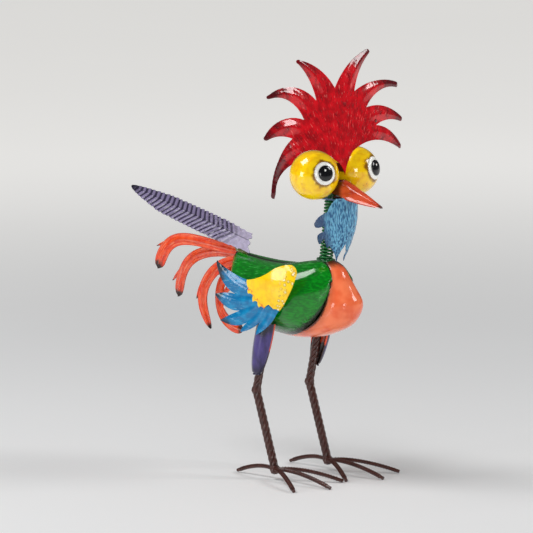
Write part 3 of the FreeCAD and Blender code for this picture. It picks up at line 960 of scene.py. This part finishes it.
@dataclass
class Wings:
    """The wings: five creased blue feathers under a domed yellow shoulder."""

    front: Point2 = (58.0, -50.0)
    flare: float = 10.0
    left_shift: Point3 = (0.0, 19.0, -22.0)
    plate: tuple[tuple[Point2, Point2], ...] = (
        ((-10, 296), (14, 290)), ((36, 285), (56, 291)), ((88, 309), (85, 290)), ((56, 263), (72, 264)),
        ((91, 261), (79, 247)), ((49, 240), (65, 233)), ((82, 224), (62, 218)), ((36, 224), (42, 218)),
        ((46, 210), (28, 216)), ((13, 227), (17, 219)), ((19, 208), (2, 219)), ((-15, 240), (-24, 254)),
        ((-30, 270), (-22, 286)))
    # the midrib of each feather, from the shoulder to its tip
    ribs: tuple[tuple[Point2, Point2, Point2], ...] = (
        ((20, 268), (54, 277), (86, 305)), ((20, 260), (56, 252), (88, 260)),
        ((12, 256), (46, 232), (79, 225)),
        ((4, 252), (22, 226), (44, 212)), ((-10, 250), (0, 228), (17, 210)))
    cover: tuple[tuple[Point2, Point2], ...] = (
        ((-40, 313), (-20, 308)), ((-7, 300), (12, 291)), ((34, 286), (34, 280)), ((31, 274), (33, 270)),
        ((32, 266), (27, 267)), ((22, 264), (24, 260)), ((24, 255), (19, 257)), ((14, 256), (15, 252)),
        ((13, 248), (8, 250)), ((4, 247), (0, 251)), ((-6, 254), (-10, 251)), ((-13, 248), (-18, 248)),
        ((-22, 246), (-29, 253)), ((-35, 262), (-43, 276)), ((-50, 297), (-50, 308)))
    dome: float = 7.0

    def hung(self, piece: bpy.types.Object, lift: float) -> bpy.types.Object:
        """Hang a piece drawn in the side plane on the flared right wing."""
        x0, y0 = self.front
        turn = Matrix.Translation((-x0, y0, 0)) @ Matrix.Rotation(math.radians(self.flare), 4, "Z")
        return Bench.place(piece, turn @ Matrix.Translation((-lift, -y0, 0)) @ SIDE_PLANE)

    def build(self) -> None:
        """Make both wings."""
        blue = BlueEnamel().material()
        spines = [arc_points(*rib, 12) + [rib[2]] for rib in self.ribs]

        def fold(x: float, y: float) -> float:
            """Each feather stands out along its midrib."""
            near = min(math.hypot(x - a, y - b) for spine in spines for a, b in spine)
            return 3.0 * math.exp(-(near / 6.5) ** 2)

        def rise(x: float, y: float) -> float:
            """A soft dome over the shoulder."""
            far = math.hypot((x + 8) / 46, (y - 280) / 38)
            return self.dome * (1 - min(1.0, far) ** 2) - 1

        for side in Side:
            word = side.word
            leaf = self.hung(stamped(f"wing_feathers_{word}_plate", outline(self.plate), 2.4, fold, 1.0), 1.2)
            dome = self.hung(stamped(f"wing_cover_{word}_dome", outline(self.cover), 3.0, rise, 1.2), 4.6)
            right = side is Side.RIGHT
            if not right:
                for piece in (leaf, dome):
                    Bench.place(piece, Matrix.Translation(self.left_shift) @ Matrix.Diagonal((-1, 1, 1, 1)))
                    Bench.outward(piece)
            Bench.finish(leaf, blue, "torso", ["wing_feathers_" + word], "blue_enamel")
            _, back, drop = (0.0, 0.0, 0.0) if right else self.left_shift
            yellow = WingCoverEnamel((0, 2 + back, 272 + drop)).material(
                "yellow_enamel_" + side.word)
            Bench.finish(dome, yellow, "torso", ["wing_cover_" + side.word], "yellow_enamel")


@dataclass
class Tail:
    """The long folded feather over four plumes with split barbs."""

    feather_root: Point2 = (108, 327)
    feather_tip: Point2 = (362, 386)
    roll: float = 40.0
    plumes: dict[str, tuple[float, tuple[Blade, ...]]] = field(default_factory=lambda: {
        "upper": (4.0, (
            Blade(((122, 310), (168, 312), (232, 326), (278, 310), (289, 270)), 16, 1.8,
                  root=0.75, point=26, flare=0.5),
            Blade(((200, 312), (232, 318), (262, 316), (292, 303)), 11, 1.2, root=0.5, point=2.2))),
        "middle": (-7.0, (
            Blade(((122, 304), (170, 307), (236, 300), (276, 268), (280, 226)), 16, 1.8,
                  root=0.75, point=26, flare=0.5),
            Blade(((176, 303), (206, 304), (228, 302), (248, 290)), 12, 1.2, point=2.2),
            Blade(((232, 288), (254, 280), (276, 268), (297, 248)), 11, 1.2, point=2.2))),
        "lower": (8.0, (
            Blade(((118, 300), (156, 294), (194, 266), (202, 226), (180, 192)), 17, 1.8,
                  root=0.8, point=6, flare=0.2),
            Blade(((146, 286), (172, 280), (198, 262), (207, 234)), 13, 1.2, point=2.2))),
        "inner": (-4.0, (
            Blade(((118, 296), (134, 270), (132, 244), (122, 222)), 16, 1.8, root=0.9, point=6),
            Blade(((120, 292), (166, 276), (188, 236), (166, 198), (122, 196)), 16, 1.8,
                  root=0.8, point=20, flare=0.3),
            Blade(((140, 274), (150, 258), (160, 248), (174, 240)), 11, 1.2, point=2.2))),
    })
    plume_root: Point3 = (0, 118, 300)

    def long_feather(self) -> None:
        """The grey-purple feather: two leaves folded on the midrib, ribbed, with a serrated edge."""
        (y0, z0), (y1, z1) = self.feather_root, self.feather_tip
        slope = math.atan2(z1 - z0, y1 - y0)
        length = math.hypot(y1 - y0, z1 - z0)
        ribs, along = 26, 156

        def place(u: float, v: float) -> Point3:
            """A place on the folded feather before it is tilted."""
            off = 2 * u - 1
            edge = abs(off)
            tooth = (v * ribs) % 1.0
            width = (18.5 - 3 * v) * min(1.0, max(0.02, (1 - v) / 0.34)) ** 0.6
            width *= 1 + 0.13 * (0.5 - tooth) * edge
            root = max(0.0, 1 - v * 7)
            width *= 1 - 0.22 * root
            sweep = (26.0 * edge * (1 - v) ** 0.6 * (1 - root) + 10.0 * off * root
                     + 2.5 * math.sin(off * 9) * root)
            press = (math.sin(math.tau * (v * ribs)) * (1 - v ** 4) * min(1.0, edge * 4)
                     * (1 - 0.8 * root))
            return off * width, v * (length - 3) + sweep, -edge * width * 0.42 + press

        leaf = formed("tail_feather_leaf", 16, along, place, 1.2)
        tilt = Matrix.Rotation(slope, 4, "X") @ Matrix.Rotation(math.radians(-self.roll), 4, "Y")
        Bench.place(leaf, Matrix.Translation((0, y0, z0)) @ tilt)
        Bench.finish(leaf, RibbedEnamel(float(ribs)).material(), "torso", ["tail_feather"],
                     "grey_purple_enamel", 30)

    def build(self) -> None:
        """Make the tail."""
        self.long_feather()
        paint = FlameEnamel().material()
        for name, (fan, blades) in self.plumes.items():
            leaves = [blade.build(f"plume_leaf_{k}") for k, blade in enumerate(blades)]
            for k, leaf in enumerate(leaves):
                Bench.place(leaf, Matrix.Translation((0.9 * k, 0, 0)) @ SIDE_PLANE)
            plume = Bench.join(f"tail_plume_{name}_blades", leaves)
            root = Matrix.Translation(self.plume_root)
            Bench.place(plume, root @ Matrix.Rotation(math.radians(fan), 4, "Z") @ root.inverted())
            Bench.finish(plume, paint, "torso", ["tail_plume_" + name], "flame_enamel", 30)


@dataclass
class Legs:
    """Fluted, twisted leg rods, open thigh shells, weld beads and ribbed toes."""

    rod_r: float = 6.0
    flutes: int = 5
    twist_pitch: float = 46.0
    rib_pitch: float = 4.2
    toe_r: float = 2.5
    rib_r: float = 0.95

    def twisted(self, name: str, start: Vector, end: Vector) -> bpy.types.Object:
        """A rod of a few strands twisted together, from start to end."""
        length = (end - start).length
        around = self.flutes * 8
        bpy.ops.mesh.primitive_cylinder_add(vertices=around, radius=self.rod_r, depth=length,
                                            end_fill_type="NGON")
        rod = Bench.added(name)
        for vert in rod.data.vertices:
            angle = math.atan2(vert.co.y, vert.co.x)
            depth = abs(math.cos(angle * self.flutes / 2))
            vert.co.xy = vert.co.xy * (0.76 + 0.26 * depth ** 0.6)
        Bench.edit(rod)
        cuts = max(8, round(length / 2))
        bpy.ops.mesh.select_all(action="SELECT")
        for k in range(1, cuts):
            bpy.ops.mesh.select_all(action="SELECT")
            bpy.ops.mesh.bisect(plane_co=(0, 0, length * (k / cuts - 0.5)), plane_no=(0, 0, 1))
        Bench.done()
        Bench.modify(rod, "SIMPLE_DEFORM", deform_method="TWIST", deform_axis="Z",
                     angle=math.tau * length / self.twist_pitch)
        aim = (end - start).to_track_quat("Z", "Y").to_matrix().to_4x4()
        return Bench.place(rod, Matrix.Translation((start + end) / 2) @ aim)

    def bead(self, name: str, centre: Vector, radius: float) -> bpy.types.Object:
        """A lumpy weld bead."""
        bpy.ops.mesh.primitive_ico_sphere_add(subdivisions=5, radius=radius)
        bead = Bench.added(name)
        clouds = bpy.data.textures.new(name + "_lumps", "CLOUDS")
        clouds.noise_scale = 4.0
        Bench.modify(bead, "DISPLACE", texture=clouds, strength=2.2, mid_level=0.6)
        bpy.data.textures.remove(clouds)
        return Bench.place(bead, Matrix.Translation(centre))

    def toe(self, name: str, node: str, hub: Vector) -> bpy.types.Object:
        """A ribbed bar along a frame toe's arch."""
        low, high = box_mm(node)
        tip = Vector((0, 0, self.toe_r + 0.2))
        tip.x = low.x if abs(low.x - hub.x) > abs(high.x - hub.x) else high.x
        tip.y = low.y if abs(low.y - hub.y) > abs(high.y - hub.y) else high.y
        if high.x - low.x < 10:
            tip.x = hub.x
        flat = Vector((tip.x - hub.x, tip.y - hub.y, 0))
        tip -= flat.normalized() * 1.5
        curve = bpy.data.curves.new(name + "_path", "CURVE")
        curve.dimensions = "3D"
        curve.resolution_u = 24
        curve.bevel_depth = self.toe_r
        curve.bevel_resolution = 5
        curve.use_fill_caps = True
        spline = curve.splines.new("NURBS")
        knots = [hub, hub + flat * 0.28 + Vector((0, 0, 6)), hub + flat * 0.66 - Vector((0, 0, 1)), tip]
        spline.points.add(len(knots) - 1)
        for knot, co in zip(spline.points, knots):
            knot.co = (*co, 1)
        spline.order_u = 4
        spline.use_endpoint_u = True
        length = spline.calc_length()
        path = bpy.data.objects.new(name, curve)
        bpy.context.collection.objects.link(path)
        bpy.ops.mesh.primitive_torus_add(major_radius=self.toe_r, minor_radius=self.rib_r, major_segments=16,
                                         minor_segments=6, rotation=(0, math.pi / 2 - 0.42, 0))
        ribs = Bench.added(name + "_ribs")
        Bench.place(ribs, Matrix.Translation((4, 0, 0)))
        Bench.modify(ribs, "ARRAY", fit_type="FIXED_COUNT", count=max(3, int((length - 7) / self.rib_pitch)),
                     use_relative_offset=False, use_constant_offset=True,
                     constant_offset_displace=(self.rib_pitch, 0, 0))
        Bench.modify(ribs, "CURVE", object=path, deform_axis="POS_X")
        Bench.hold(path)
        bpy.ops.object.convert(target="MESH")
        return Bench.join(name, [path, ribs])

    def thigh(self, side: Side) -> bpy.types.Object:
        """The open half shell over the leg's top, drawn in to a small foot."""
        low, high = box_mm("thigh_" + side.word)
        rings = ((15.0, 0.0), (15.0, 0.3), (14.0, 0.55), (11.5, 0.78), (8.5, 0.93), (6.0, 0.97), (6.6, 1.0))
        top = Vector((side.value * (abs(low.x + high.x) / 2 - 4), 12.0, high.z - 2))
        end = Vector((top.x, 32.0, low.z))
        down = (end - top)

        def place(u: float, v: float) -> Point3:
            """A place on the half shell."""
            radius, share = through(rings, v)
            angle = math.radians((u - 0.5) * 205)
            middle = top + down * share
            return (middle.x + side.value * radius * 0.8 * math.cos(angle),
                    middle.y + radius * math.sin(angle), middle.z)

        shell = formed(f"thigh_{side.word}_shell", 32, 48, place, 1.2)
        Bench.outward(shell)
        return shell

    def build(self) -> None:
        """Make both legs."""
        brown = SprayedEnamel("brown_enamel", srgb(74, 40, 34), srgb(24, 10, 8), 6.0, shade_share=0.7,
                              hammer_mm=2.6, hammer_depth=0.35, roughness=0.3).material()
        for side in Side:
            word = side.word
            hock, hub = box_centre("hock_weld_" + word), box_centre("foot_weld_" + word)
            low, high = box_mm("upper_leg_" + word)
            hip = Vector((hock.x, low.y + 6, high.z - 2))
            parts = {
                "upper_leg_": self.twisted(f"upper_leg_{word}_rod", hock, hip),
                "shank_": self.twisted(f"shank_{word}_rod", hub, hock),
                "hock_weld_": self.bead(f"hock_weld_{word}_bead", hock, 7.2),
                "foot_weld_": self.bead(f"foot_weld_{word}_bead", hub, 7.4),
            }
            for toe in ("toe_middle_", "toe_outer_", "toe_inner_", "toe_hind_"):
                parts[toe] = self.toe(f"{toe}{word}_bar", toe + word, hub)
            for stem, piece in parts.items():
                Bench.finish(piece, brown, "torso", [stem + word], "brown_enamel", 50)
            purple = ThighEnamel(side).material()
            Bench.finish(self.thigh(side), purple, "torso", ["thigh_" + word], "purple_enamel", 50)


@dataclass
class Neck:
    """The coil spring, in two stretches that each span one joint."""

    coil_r: float = 8.4
    wire_r: float = 1.6
    pitch: float = 4.7
    wire_sides: int = 12
    bend: float = 21.0

    def stretch(self, name: str, start: float, end: float, zero: float) -> bpy.types.Object:
        """The wire between two heights on an upright axis at the origin.

        Args:
            name: the piece's name.
            start: the height where it starts.
            end: the height where it ends.
            zero: the height at which the wire crosses +Y.

        Returns:
            The piece of wire.
        """
        bpy.ops.mesh.primitive_circle_add(vertices=self.wire_sides, radius=self.wire_r, fill_type="NGON",
                                          location=(self.coil_r, 0, 0), rotation=(math.pi / 2, 0, 0))
        wire = Bench.added(name)
        bpy.ops.object.transform_apply(location=True, rotation=True, scale=True)
        turns = (end - start) / self.pitch
        Bench.modify(wire, "SCREW", axis="Z", angle=math.tau * turns, screw_offset=end - start,
                     steps=max(8, round(36 * turns)), render_steps=max(8, round(36 * turns)),
                     use_merge_vertices=False)
        Bench.outward(wire)
        turned = math.tau * (0.25 + (start - zero) / self.pitch)
        return Bench.place(wire, Matrix.Translation((0, 0, start)) @ Matrix.Rotation(turned, 4, "Z"))

    def build(self) -> None:
        """Make the spring's two stretches."""
        joints = {j["name"]: j for j in frame["record"]["behaviour"]["joints"]}
        sway, nod = (Vector(joints[name]["pos_m"]) / MM for name in ("head_sway", "head_nod"))
        axis = (nod - sway).normalized()
        lean = Matrix.Rotation(math.atan2(-axis.y, axis.z), 4, "X")
        low, _ = box_mm("neck_spring_lower")
        _, high = box_mm("neck_spring_upper")
        foot = -(sway.z - low.z - self.wire_r) / axis.z
        top = (high.z - sway.z - self.wire_r) / axis.z
        middle = (nod - sway).length / 2
        paint = SprayedEnamel("green_spring", srgb(16, 104, 46), srgb(4, 34, 18), 5.0, shade_share=0.6,
                              roughness=0.2).material()
        stretches = (
            ("neck_spring_low_stretch", foot, middle, joints["head_sway"],
             ["neck_spring_lower", "neck_spring_middle"],
             middle - self.bend, middle),
            ("neck_spring_high_stretch", middle, top, joints["head_nod"], ["neck_spring_upper"],
             middle, middle + self.bend))
        for name, start, end, joint, nodes, first, last in stretches:
            piece = self.stretch(name, start, end, 0.0)
            Bench.place(piece, Matrix.Translation(sway) @ lean)
            Bench.finish(piece, paint, None, nodes, "green_spring", 60)
            tuple((sway + axis * first) * MM)
            tuple((sway + axis * last) * MM)
            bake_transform(piece)


@dataclass
class Head:
    """The crest, the ball eyes, the beak and the beard, on top of the spring."""

    crest_gauge: float = 1.3
    crest_lean: float = 9.2
    camber_r: float = 650.0
    crest_corners: tuple[tuple[Point2, Point2], ...] = (
        ((0, -1), (-4, 11)), ((-12, 19), (-40, 27)), ((-68, 23), (-104, 17)),
        ((-130, -23), (-134, -21)), ((-135, -16), (-124, 19)), ((-88, 57), (-112, 62)),
        ((-131, 59), (-136, 60)), ((-136, 63), (-104, 84)), ((-64, 81), (-88, 110)),
        ((-121, 115), (-124, 117)), ((-122, 120), (-88, 129)), ((-38, 105), (-46, 133)),
        ((-67, 160), (-68, 164)), ((-63, 164), (-24, 147)), ((-1, 121), (30, 152)),
        ((68, 171), (73, 172)), ((77, 168), (52, 143)), ((37, 114), (90, 127)),
        ((135, 122), (136, 117)), ((130, 115), (86, 110)), ((59, 90), (106, 88)),
        ((135, 73), (136, 68)), ((133, 66), (104, 70)), ((76, 64), (106, 54)),
        ((127, 33), (126, 28)), ((121, 29), (74, 43)), ((21, 31), (8, 16)))
    # the crown line of each horn, from root to tip
    horns: tuple[tuple[Point2, Point2, Point2], ...] = (
        ((-64, 44), (-112, 33), (-132, -14)), ((-66, 66), (-100, 74), (-130, 62)),
        ((-50, 88), (-84, 118), (-116, 118)),
        ((-18, 106), (-38, 140), (-63, 161)), ((20, 106), (42, 146), (72, 168)),
        ((42, 96), (82, 118), (130, 119)),
        ((56, 76), (100, 79), (134, 70)), ((58, 56), (98, 50), (122, 32)))
    notch: Point2 = (44.0, 8.0)     # the right eye looks out through a notch: its turn outwards and its rise
    eye_gap: float = 0.3            # between the crest and the eye balls
    notch_inset: float = 0.6        # the notch is this much smaller than the eye ball
    notch_length: float = 160.0
    look_yaw: float = 17.0
    look_pitch: float = 10.0
    ring_r: float = 16.0
    pupil_r: float = 11.3
    beard_corners: tuple[tuple[Point2, Point2], ...] = (
        ((-22, 407), (-30, 398)), ((-35, 388), (-46, 382)), ((-62, 367), (-52, 364)),
        ((-40, 368), (-38, 364)),
        ((-38, 360), (-48, 354)), ((-58, 341), (-48, 340)), ((-36, 350), (-33, 344)),
        ((-32, 336), (-29, 337)),
        ((-27, 340), (-19, 328)), ((-12, 314), (-9, 326)), ((0, 342), (7, 328)), ((13, 316), (17, 328)),
        ((24, 340), (28, 337)), ((33, 333), (33, 341)), ((38, 346), (45, 343)), ((54, 336), (50, 346)),
        ((47, 356), (47, 362)), ((50, 366), (56, 365)), ((62, 364), (54, 375)), ((47, 382), (46, 394)),
        ((38, 406), (0, 408)))
    # the beard's sections from the top down: Z, half width and depth before the neck
    beard_rings: tuple[tuple[float, ...], ...] = (
        (408, 29, 32), (390, 31, 32), (372, 30, 31), (354, 26, 26), (336, 20, 19), (314, 13, 11))

    def crest(self) -> None:
        """The comb of eight horns."""
        spines = [arc_points(*horn, 16) + [horn[2]] for horn in self.horns]

        def camber(x: float, y: float) -> float:
            """The sheet falls back at the sides and stands out along each horn."""
            ridge = max(min(1.0, k / 9) * math.exp(-((x - a) ** 2 + (y - b) ** 2) / 56)
                        for spine in spines for k, (a, b) in enumerate(spine))
            return math.sqrt(self.camber_r ** 2 - x * x) - self.camber_r + 3.8 * ridge

        comb = stamped("crest_sheet", outline(self.crest_corners), 2.2, camber, self.crest_gauge)
        foot = Vector((0, -86, 440))
        stand = Matrix(((1, 0, 0, 0), (0, 0, -1, 0), (0, 1, 0, 0), (0, 0, 0, 1)))
        lean = Matrix.Rotation(-math.radians(self.crest_lean), 4, "X")
        Bench.place(comb, Matrix.Translation(foot) @ lean @ stand)
        for side in Side:
            low, high = box_mm("eye_ball_" + side.word)
            bpy.ops.mesh.primitive_uv_sphere_add(segments=64, ring_count=32,
                                                 radius=(high.z - low.z) / 2 + self.eye_gap,
                                                 location=(low + high) / 2)
            Bench.cut(comb, Bench.added("eye_tool"), "DIFFERENCE")
            if side is Side.RIGHT:
                yaw, pitch = (math.radians(angle) for angle in self.notch)
                ahead = Vector((-math.sin(yaw) * math.cos(pitch), -math.cos(yaw) * math.cos(pitch),
                                math.sin(pitch)))
                bpy.ops.mesh.primitive_cylinder_add(vertices=96,
                                                    radius=(high.z - low.z) / 2 - self.notch_inset,
                                                    depth=self.notch_length,
                                                    location=(low + high) / 2 + ahead * self.notch_length / 2,
                                                    rotation=ahead.to_track_quat("Z", "Y").to_euler())
                Bench.cut(comb, Bench.added("notch_tool"), "DIFFERENCE")
        Bench.finish(comb, CrestEnamel(tuple(foot)).material(), "head", ["crest"], "red_enamel")
        bpy.ops.mesh.primitive_uv_sphere_add(segments=24, ring_count=12, radius=3.0)
        rivet = Bench.place(Bench.added("crest_rivet_head"), Matrix.Translation(box_centre("crest_rivet")))
        paint = PlainGloss("rivet_red", srgb(120, 8, 18), srgb(30, 6, 8)).material()
        Bench.finish(rivet, paint, "head", ["crest_rivet"], "red_enamel")

    def eye(self, side: Side) -> None:
        """One ball with its ring and pupil."""
        centre = box_centre("eye_ball_" + side.word)
        low, high = box_mm("eye_ball_" + side.word)
        radius = (high.z - low.z) / 2
        yaw, pitch = math.radians(self.look_yaw), math.radians(self.look_pitch)
        look = Vector((side.value * math.sin(yaw) * math.cos(pitch), -math.cos(yaw) * math.cos(pitch),
                       math.sin(pitch)))
        aim = look.to_track_quat("Z", "Y").to_matrix().to_4x4()
        seat = Matrix.Translation(centre) @ aim
        bpy.ops.mesh.primitive_uv_sphere_add(segments=96, ring_count=48, radius=radius)
        ball = Bench.place(Bench.added(f"eye_{side.word}_globe"), seat)
        finish = BallEnamel(tuple(centre), tuple(look))
        Bench.finish(ball, finish.material("eye_yellow_" + side.word), "head", ["eye_ball_" + side.word],
                     "eye_yellow")
        bpy.ops.mesh.primitive_cylinder_add(vertices=88, radius=self.ring_r, depth=1.6,
                                            end_fill_type="NOTHING")
        ring = Bench.added(f"eye_{side.word}_ring")
        seat_height = math.sqrt(radius ** 2 - self.ring_r ** 2)
        Bench.edit(ring)
        mesh = bmesh.from_edit_mesh(ring.data)
        for vert in mesh.verts:
            angle = math.atan2(vert.co.y, vert.co.x)
            vert.co.xy = vert.co.xy * (1 + 0.035 * (1 if round(angle / math.tau * 88) % 2 else -1))
        bmesh.update_edit_mesh(ring.data)
        Bench.select_points(ring, lambda co: co.z > 0)
        bpy.ops.mesh.extrude_edges_move()
        bpy.ops.transform.resize(value=(0.86, 0.86, 1), center_override=(0, 0, 0.8))
        bpy.ops.transform.translate(value=(0, 0, 1.3))
        bpy.ops.mesh.extrude_edges_move()
        bpy.ops.transform.resize(value=(0.84, 0.84, 1), center_override=(0, 0, 0.8))
        bpy.ops.transform.translate(value=(0, 0, 0.6))
        bpy.ops.mesh.edge_face_add()
        Bench.done()
        Bench.place(ring, seat @ Matrix.Translation((0, 0, seat_height)))
        white = PlainGloss("eye_white_" + side.word, srgb(238, 238, 232), srgb(60, 50, 44), 1.6,
                           0.45).material()
        Bench.finish(ring, white, "head", ["eye_ring_" + side.word], "eye_white")
        bpy.ops.mesh.primitive_uv_sphere_add(segments=48, ring_count=24, radius=self.pupil_r)
        pupil = Bench.place(Bench.added(f"eye_{side.word}_pupil"), Matrix.Diagonal((1, 1, 0.26, 1)))
        Bench.place(pupil, seat @ Matrix.Translation((0, 0, radius - 0.2)))
        bpy.ops.mesh.primitive_uv_sphere_add(segments=20, ring_count=10, radius=1.5)
        glint = Bench.place(Bench.added("glint"), Matrix.Diagonal((1, 1, 0.35, 1)))
        Bench.place(glint, seat @ Matrix.Translation((-1.5, 4.2, radius + 2.5)))
        black = PlainGloss("pupil_black_" + side.word, srgb(10, 10, 14), srgb(24, 24, 34)).material()
        Bench.finish(pupil, black, "head", ["pupil_" + side.word], "pupil_black")
        Bench.finish(glint, white, "head", [], "eye_white")
        glint.name = f"eye_{side.word}_glint"

    def beak(self) -> None:
        """The upper mandible, folded along its ridge, and the lower one under it."""
        upper_rings = ((-72, 414, 430, 13.5), (-86, 411, 431, 14.0), (-100, 407.5, 426, 12.6),
                       (-114, 404.5, 419.5, 10.2),
                       (-130, 402, 412.5, 7.0), (-146, 399.5, 405, 3.6), (-158, 397.6, 399.4, 0.8))
        lower_rings = ((-76, 409.5, 405, 13.0), (-95, 407.4, 403.2, 11.4), (-112, 404.0, 400.6, 8.6),
                       (-130, 401.0, 398.6, 5.2), (-146, 398.8, 397.6, 1.2))

        def wrap(rings: Sequence[Sequence[float]], fold: float) -> Callable[[float, float], Point3]:
            """The surface through the rings, sharper along its ridge where fold is above 1."""
            def place(u: float, v: float) -> Point3:
                """A place on the mandible: u round it, v towards the tip."""
                y, edge, ridge, half = through(rings, v)
                angle = math.pi * (1 - u)
                return half * math.cos(angle), y, edge + (ridge - edge) * math.sin(angle) ** fold
            return place

        paint = BeakEnamel().material()
        for name, rings, fold in (("upper", upper_rings, 1.25), ("lower", lower_rings, 1.0)):
            shell = formed(f"beak_{name}_shell", 28, 48, wrap(rings, fold), 1.3, -1)
            Bench.outward(shell)
            Bench.finish(shell, paint, "head", [name + "_beak"], "beak_orange", 40)

    def beard(self) -> None:
        """The blue sheet that wraps round the front of the neck, all hair strokes and barbs."""
        centre_y = -66.0
        tall = self.beard_rings[0][0] - self.beard_rings[-1][0]

        def hair(x: float, y: float) -> float:
            """Locks pressed into the sheet, running down."""
            return 0.7 * math.sin(x * 0.9 + 1.3 * math.sin(y * 0.11)) * math.sin(y * 0.16 + x * 0.35)

        sheet = stamped("beard_sheet", outline(self.beard_corners), 1.7, hair, 1.1)
        for vert in sheet.data.vertices:
            s, z, lift = vert.co
            share = (self.beard_rings[0][0] - z) / tall
            _, half, depth = through(self.beard_rings, min(1.0, max(0.0, share)))
            angle = s / max(half, 24.0)
            vert.co = ((half + lift) * math.sin(angle), centre_y - (depth + lift) * math.cos(angle), z)
        Bench.outward(sheet)
        Bench.finish(sheet, BeardEnamel().material(), "head", ["beard"], "beard_blue")

    def build(self) -> None:
        """Make the head."""
        self.crest()
        for side in Side:
            self.eye(side)
        self.beak()
        self.beard()


@dataclass
class FramePaint:
    """Finishes for the frame nodes that stay as they are."""

    def build(self) -> None:
        """Paint the sockets, the post, the bar and the tabs."""
        green = PlainGloss("socket_green", srgb(16, 92, 44), srgb(10, 24, 14), 5.0, 0.8).material()
        dark = PlainGloss("bracket_dark", srgb(70, 16, 16), srgb(22, 10, 8), 4.0, 0.6).material()
        blue = PlainGloss("chin_blue", srgb(40, 84, 128), srgb(12, 20, 44), 4.0, 0.7).material()
        finishes = {"neck_socket": green, "neck_post": green, "eye_bar": dark,
                    "crest_tab": dark, "chin_plate": blue}
        for node, paint in finishes.items():
            mesh = frame["nodes"][node].data
            if not mesh.materials:
                mesh.materials.append(paint)
            for index in range(len(mesh.materials)):
                mesh.materials[index] = paint


# ---------------------------------------------------------------- the studio


@dataclass
class Studio:
    """A pale floor, soft light and the camera."""

    azimuth: float = -44.0
    elevation: float = 8.0
    distance: float = 6.0
    lens: float = 283.7
    aim: Point3 = (-0.0161, 0.0556, 0.2964)
    air_light: float = 0.4
    air_seen: float = 0.86
    air_gloss: float = 0.25

    def floor(self) -> None:
        """The pale floor, glowing more the farther it lies from the bird: painted light in place of a lit
        backdrop.
        """
        bpy.ops.mesh.primitive_plane_add(size=60, location=(0, 0, 0))
        floor = Bench.added("studio_floor")
        g = Graph("floor_white")
        cloud = g.noise(900.0)
        g.feed(g.shader.inputs["Base Color"], g.mix(cloud, (0.86, 0.86, 0.86), (0.9, 0.9, 0.9)))
        x, y, _z = g.axes()
        # painted light: the floor glows, none near the bird and brighter far away, standing in for a lit
        # backdrop
        away = ((x * x + y * y) ** 0.5).ramp(900, 4200)
        g.feed(g.shader.inputs["Emission Color"], g.mix(away, (0.0, 0.0, 0.0), (0.46, 0.45, 0.43)))
        g.shader.inputs["Emission Strength"].default_value = 1.0
        g.shader.inputs["Roughness"].default_value = 0.32
        floor.data.materials.append(g.material)

    def light(self, name: str, place: Point3, size: float, power: float) -> None:
        """A square softbox aimed at the bird."""
        bpy.ops.object.light_add(type="AREA", location=place)
        lamp = bpy.context.object
        lamp.name = name
        lamp.data.shape = "SQUARE"
        lamp.data.size = size
        lamp.data.energy = power
        lamp.rotation_euler = (Vector((0, 0, 0.3)) - Vector(place)).to_track_quat("-Z", "Y").to_euler()

    def camera(self) -> None:
        """The camera, on a long lens."""
        a, e = math.radians(self.azimuth), math.radians(self.elevation)
        back = Vector((math.sin(a) * math.cos(e), -math.cos(a) * math.cos(e), math.sin(e)))
        bpy.ops.object.camera_add(location=Vector(self.aim) + back * self.distance)
        camera = bpy.context.object
        camera.rotation_euler = (-back).to_track_quat("-Z", "Y").to_euler()
        camera.data.lens = self.lens
        camera.data.sensor_width = 36.0
        camera.data.clip_end = 200
        bpy.context.scene.camera = camera

    def build(self) -> None:
        """Set up the studio."""
        self.floor()
        self.light("key_softbox", (-1.3, 1.1, 2.9), 1.3, 52)
        self.light("side_softbox", (-2.9, 0.7, 0.8), 0.9, 20)
        self.light("front_softbox", (-1.9, -2.6, 0.9), 0.8, 24)
        self.light("right_softbox", (2.0, -2.2, 2.2), 1.1, 44)
        world = bpy.data.worlds.new("studio_air")
        bpy.context.scene.world = world
        world.use_nodes = True
        tree = world.node_tree
        air = tree.nodes["Background"]
        air.inputs["Color"].default_value = (0.93, 0.94, 0.95, 1)
        seen = tree.nodes.new("ShaderNodeLightPath")
        level = tree.nodes.new("ShaderNodeMapRange")
        level.inputs["To Min"].default_value = self.air_light
        level.inputs["To Max"].default_value = self.air_seen
        tree.links.new(seen.outputs["Is Camera Ray"], level.inputs["Value"])
        gloss = tree.nodes.new("ShaderNodeMapRange")
        gloss.inputs["To Min"].default_value = 1.0
        gloss.inputs["To Max"].default_value = self.air_gloss
        tree.links.new(seen.outputs["Is Glossy Ray"], gloss.inputs["Value"])
        share = tree.nodes.new("ShaderNodeMath")
        share.operation = "MULTIPLY"
        tree.links.new(level.outputs["Result"], share.inputs[0])
        tree.links.new(gloss.outputs["Result"], share.inputs[1])
        tree.links.new(share.outputs["Value"], air.inputs["Strength"])
        bpy.context.scene.view_settings.view_transform = "Standard"
        self.camera()


def main() -> None:
    """Build the bird, then the studio."""
    logging.basicConfig(level=logging.INFO, format="%(message)s")
    for assembly in (Studio(), Torso(), Wings(), Tail(), Legs(), Neck(), Head(), FramePaint()):
        log.info("building %s", type(assembly).__name__)
        assembly.build()


if __name__ == "__main__":
    main()
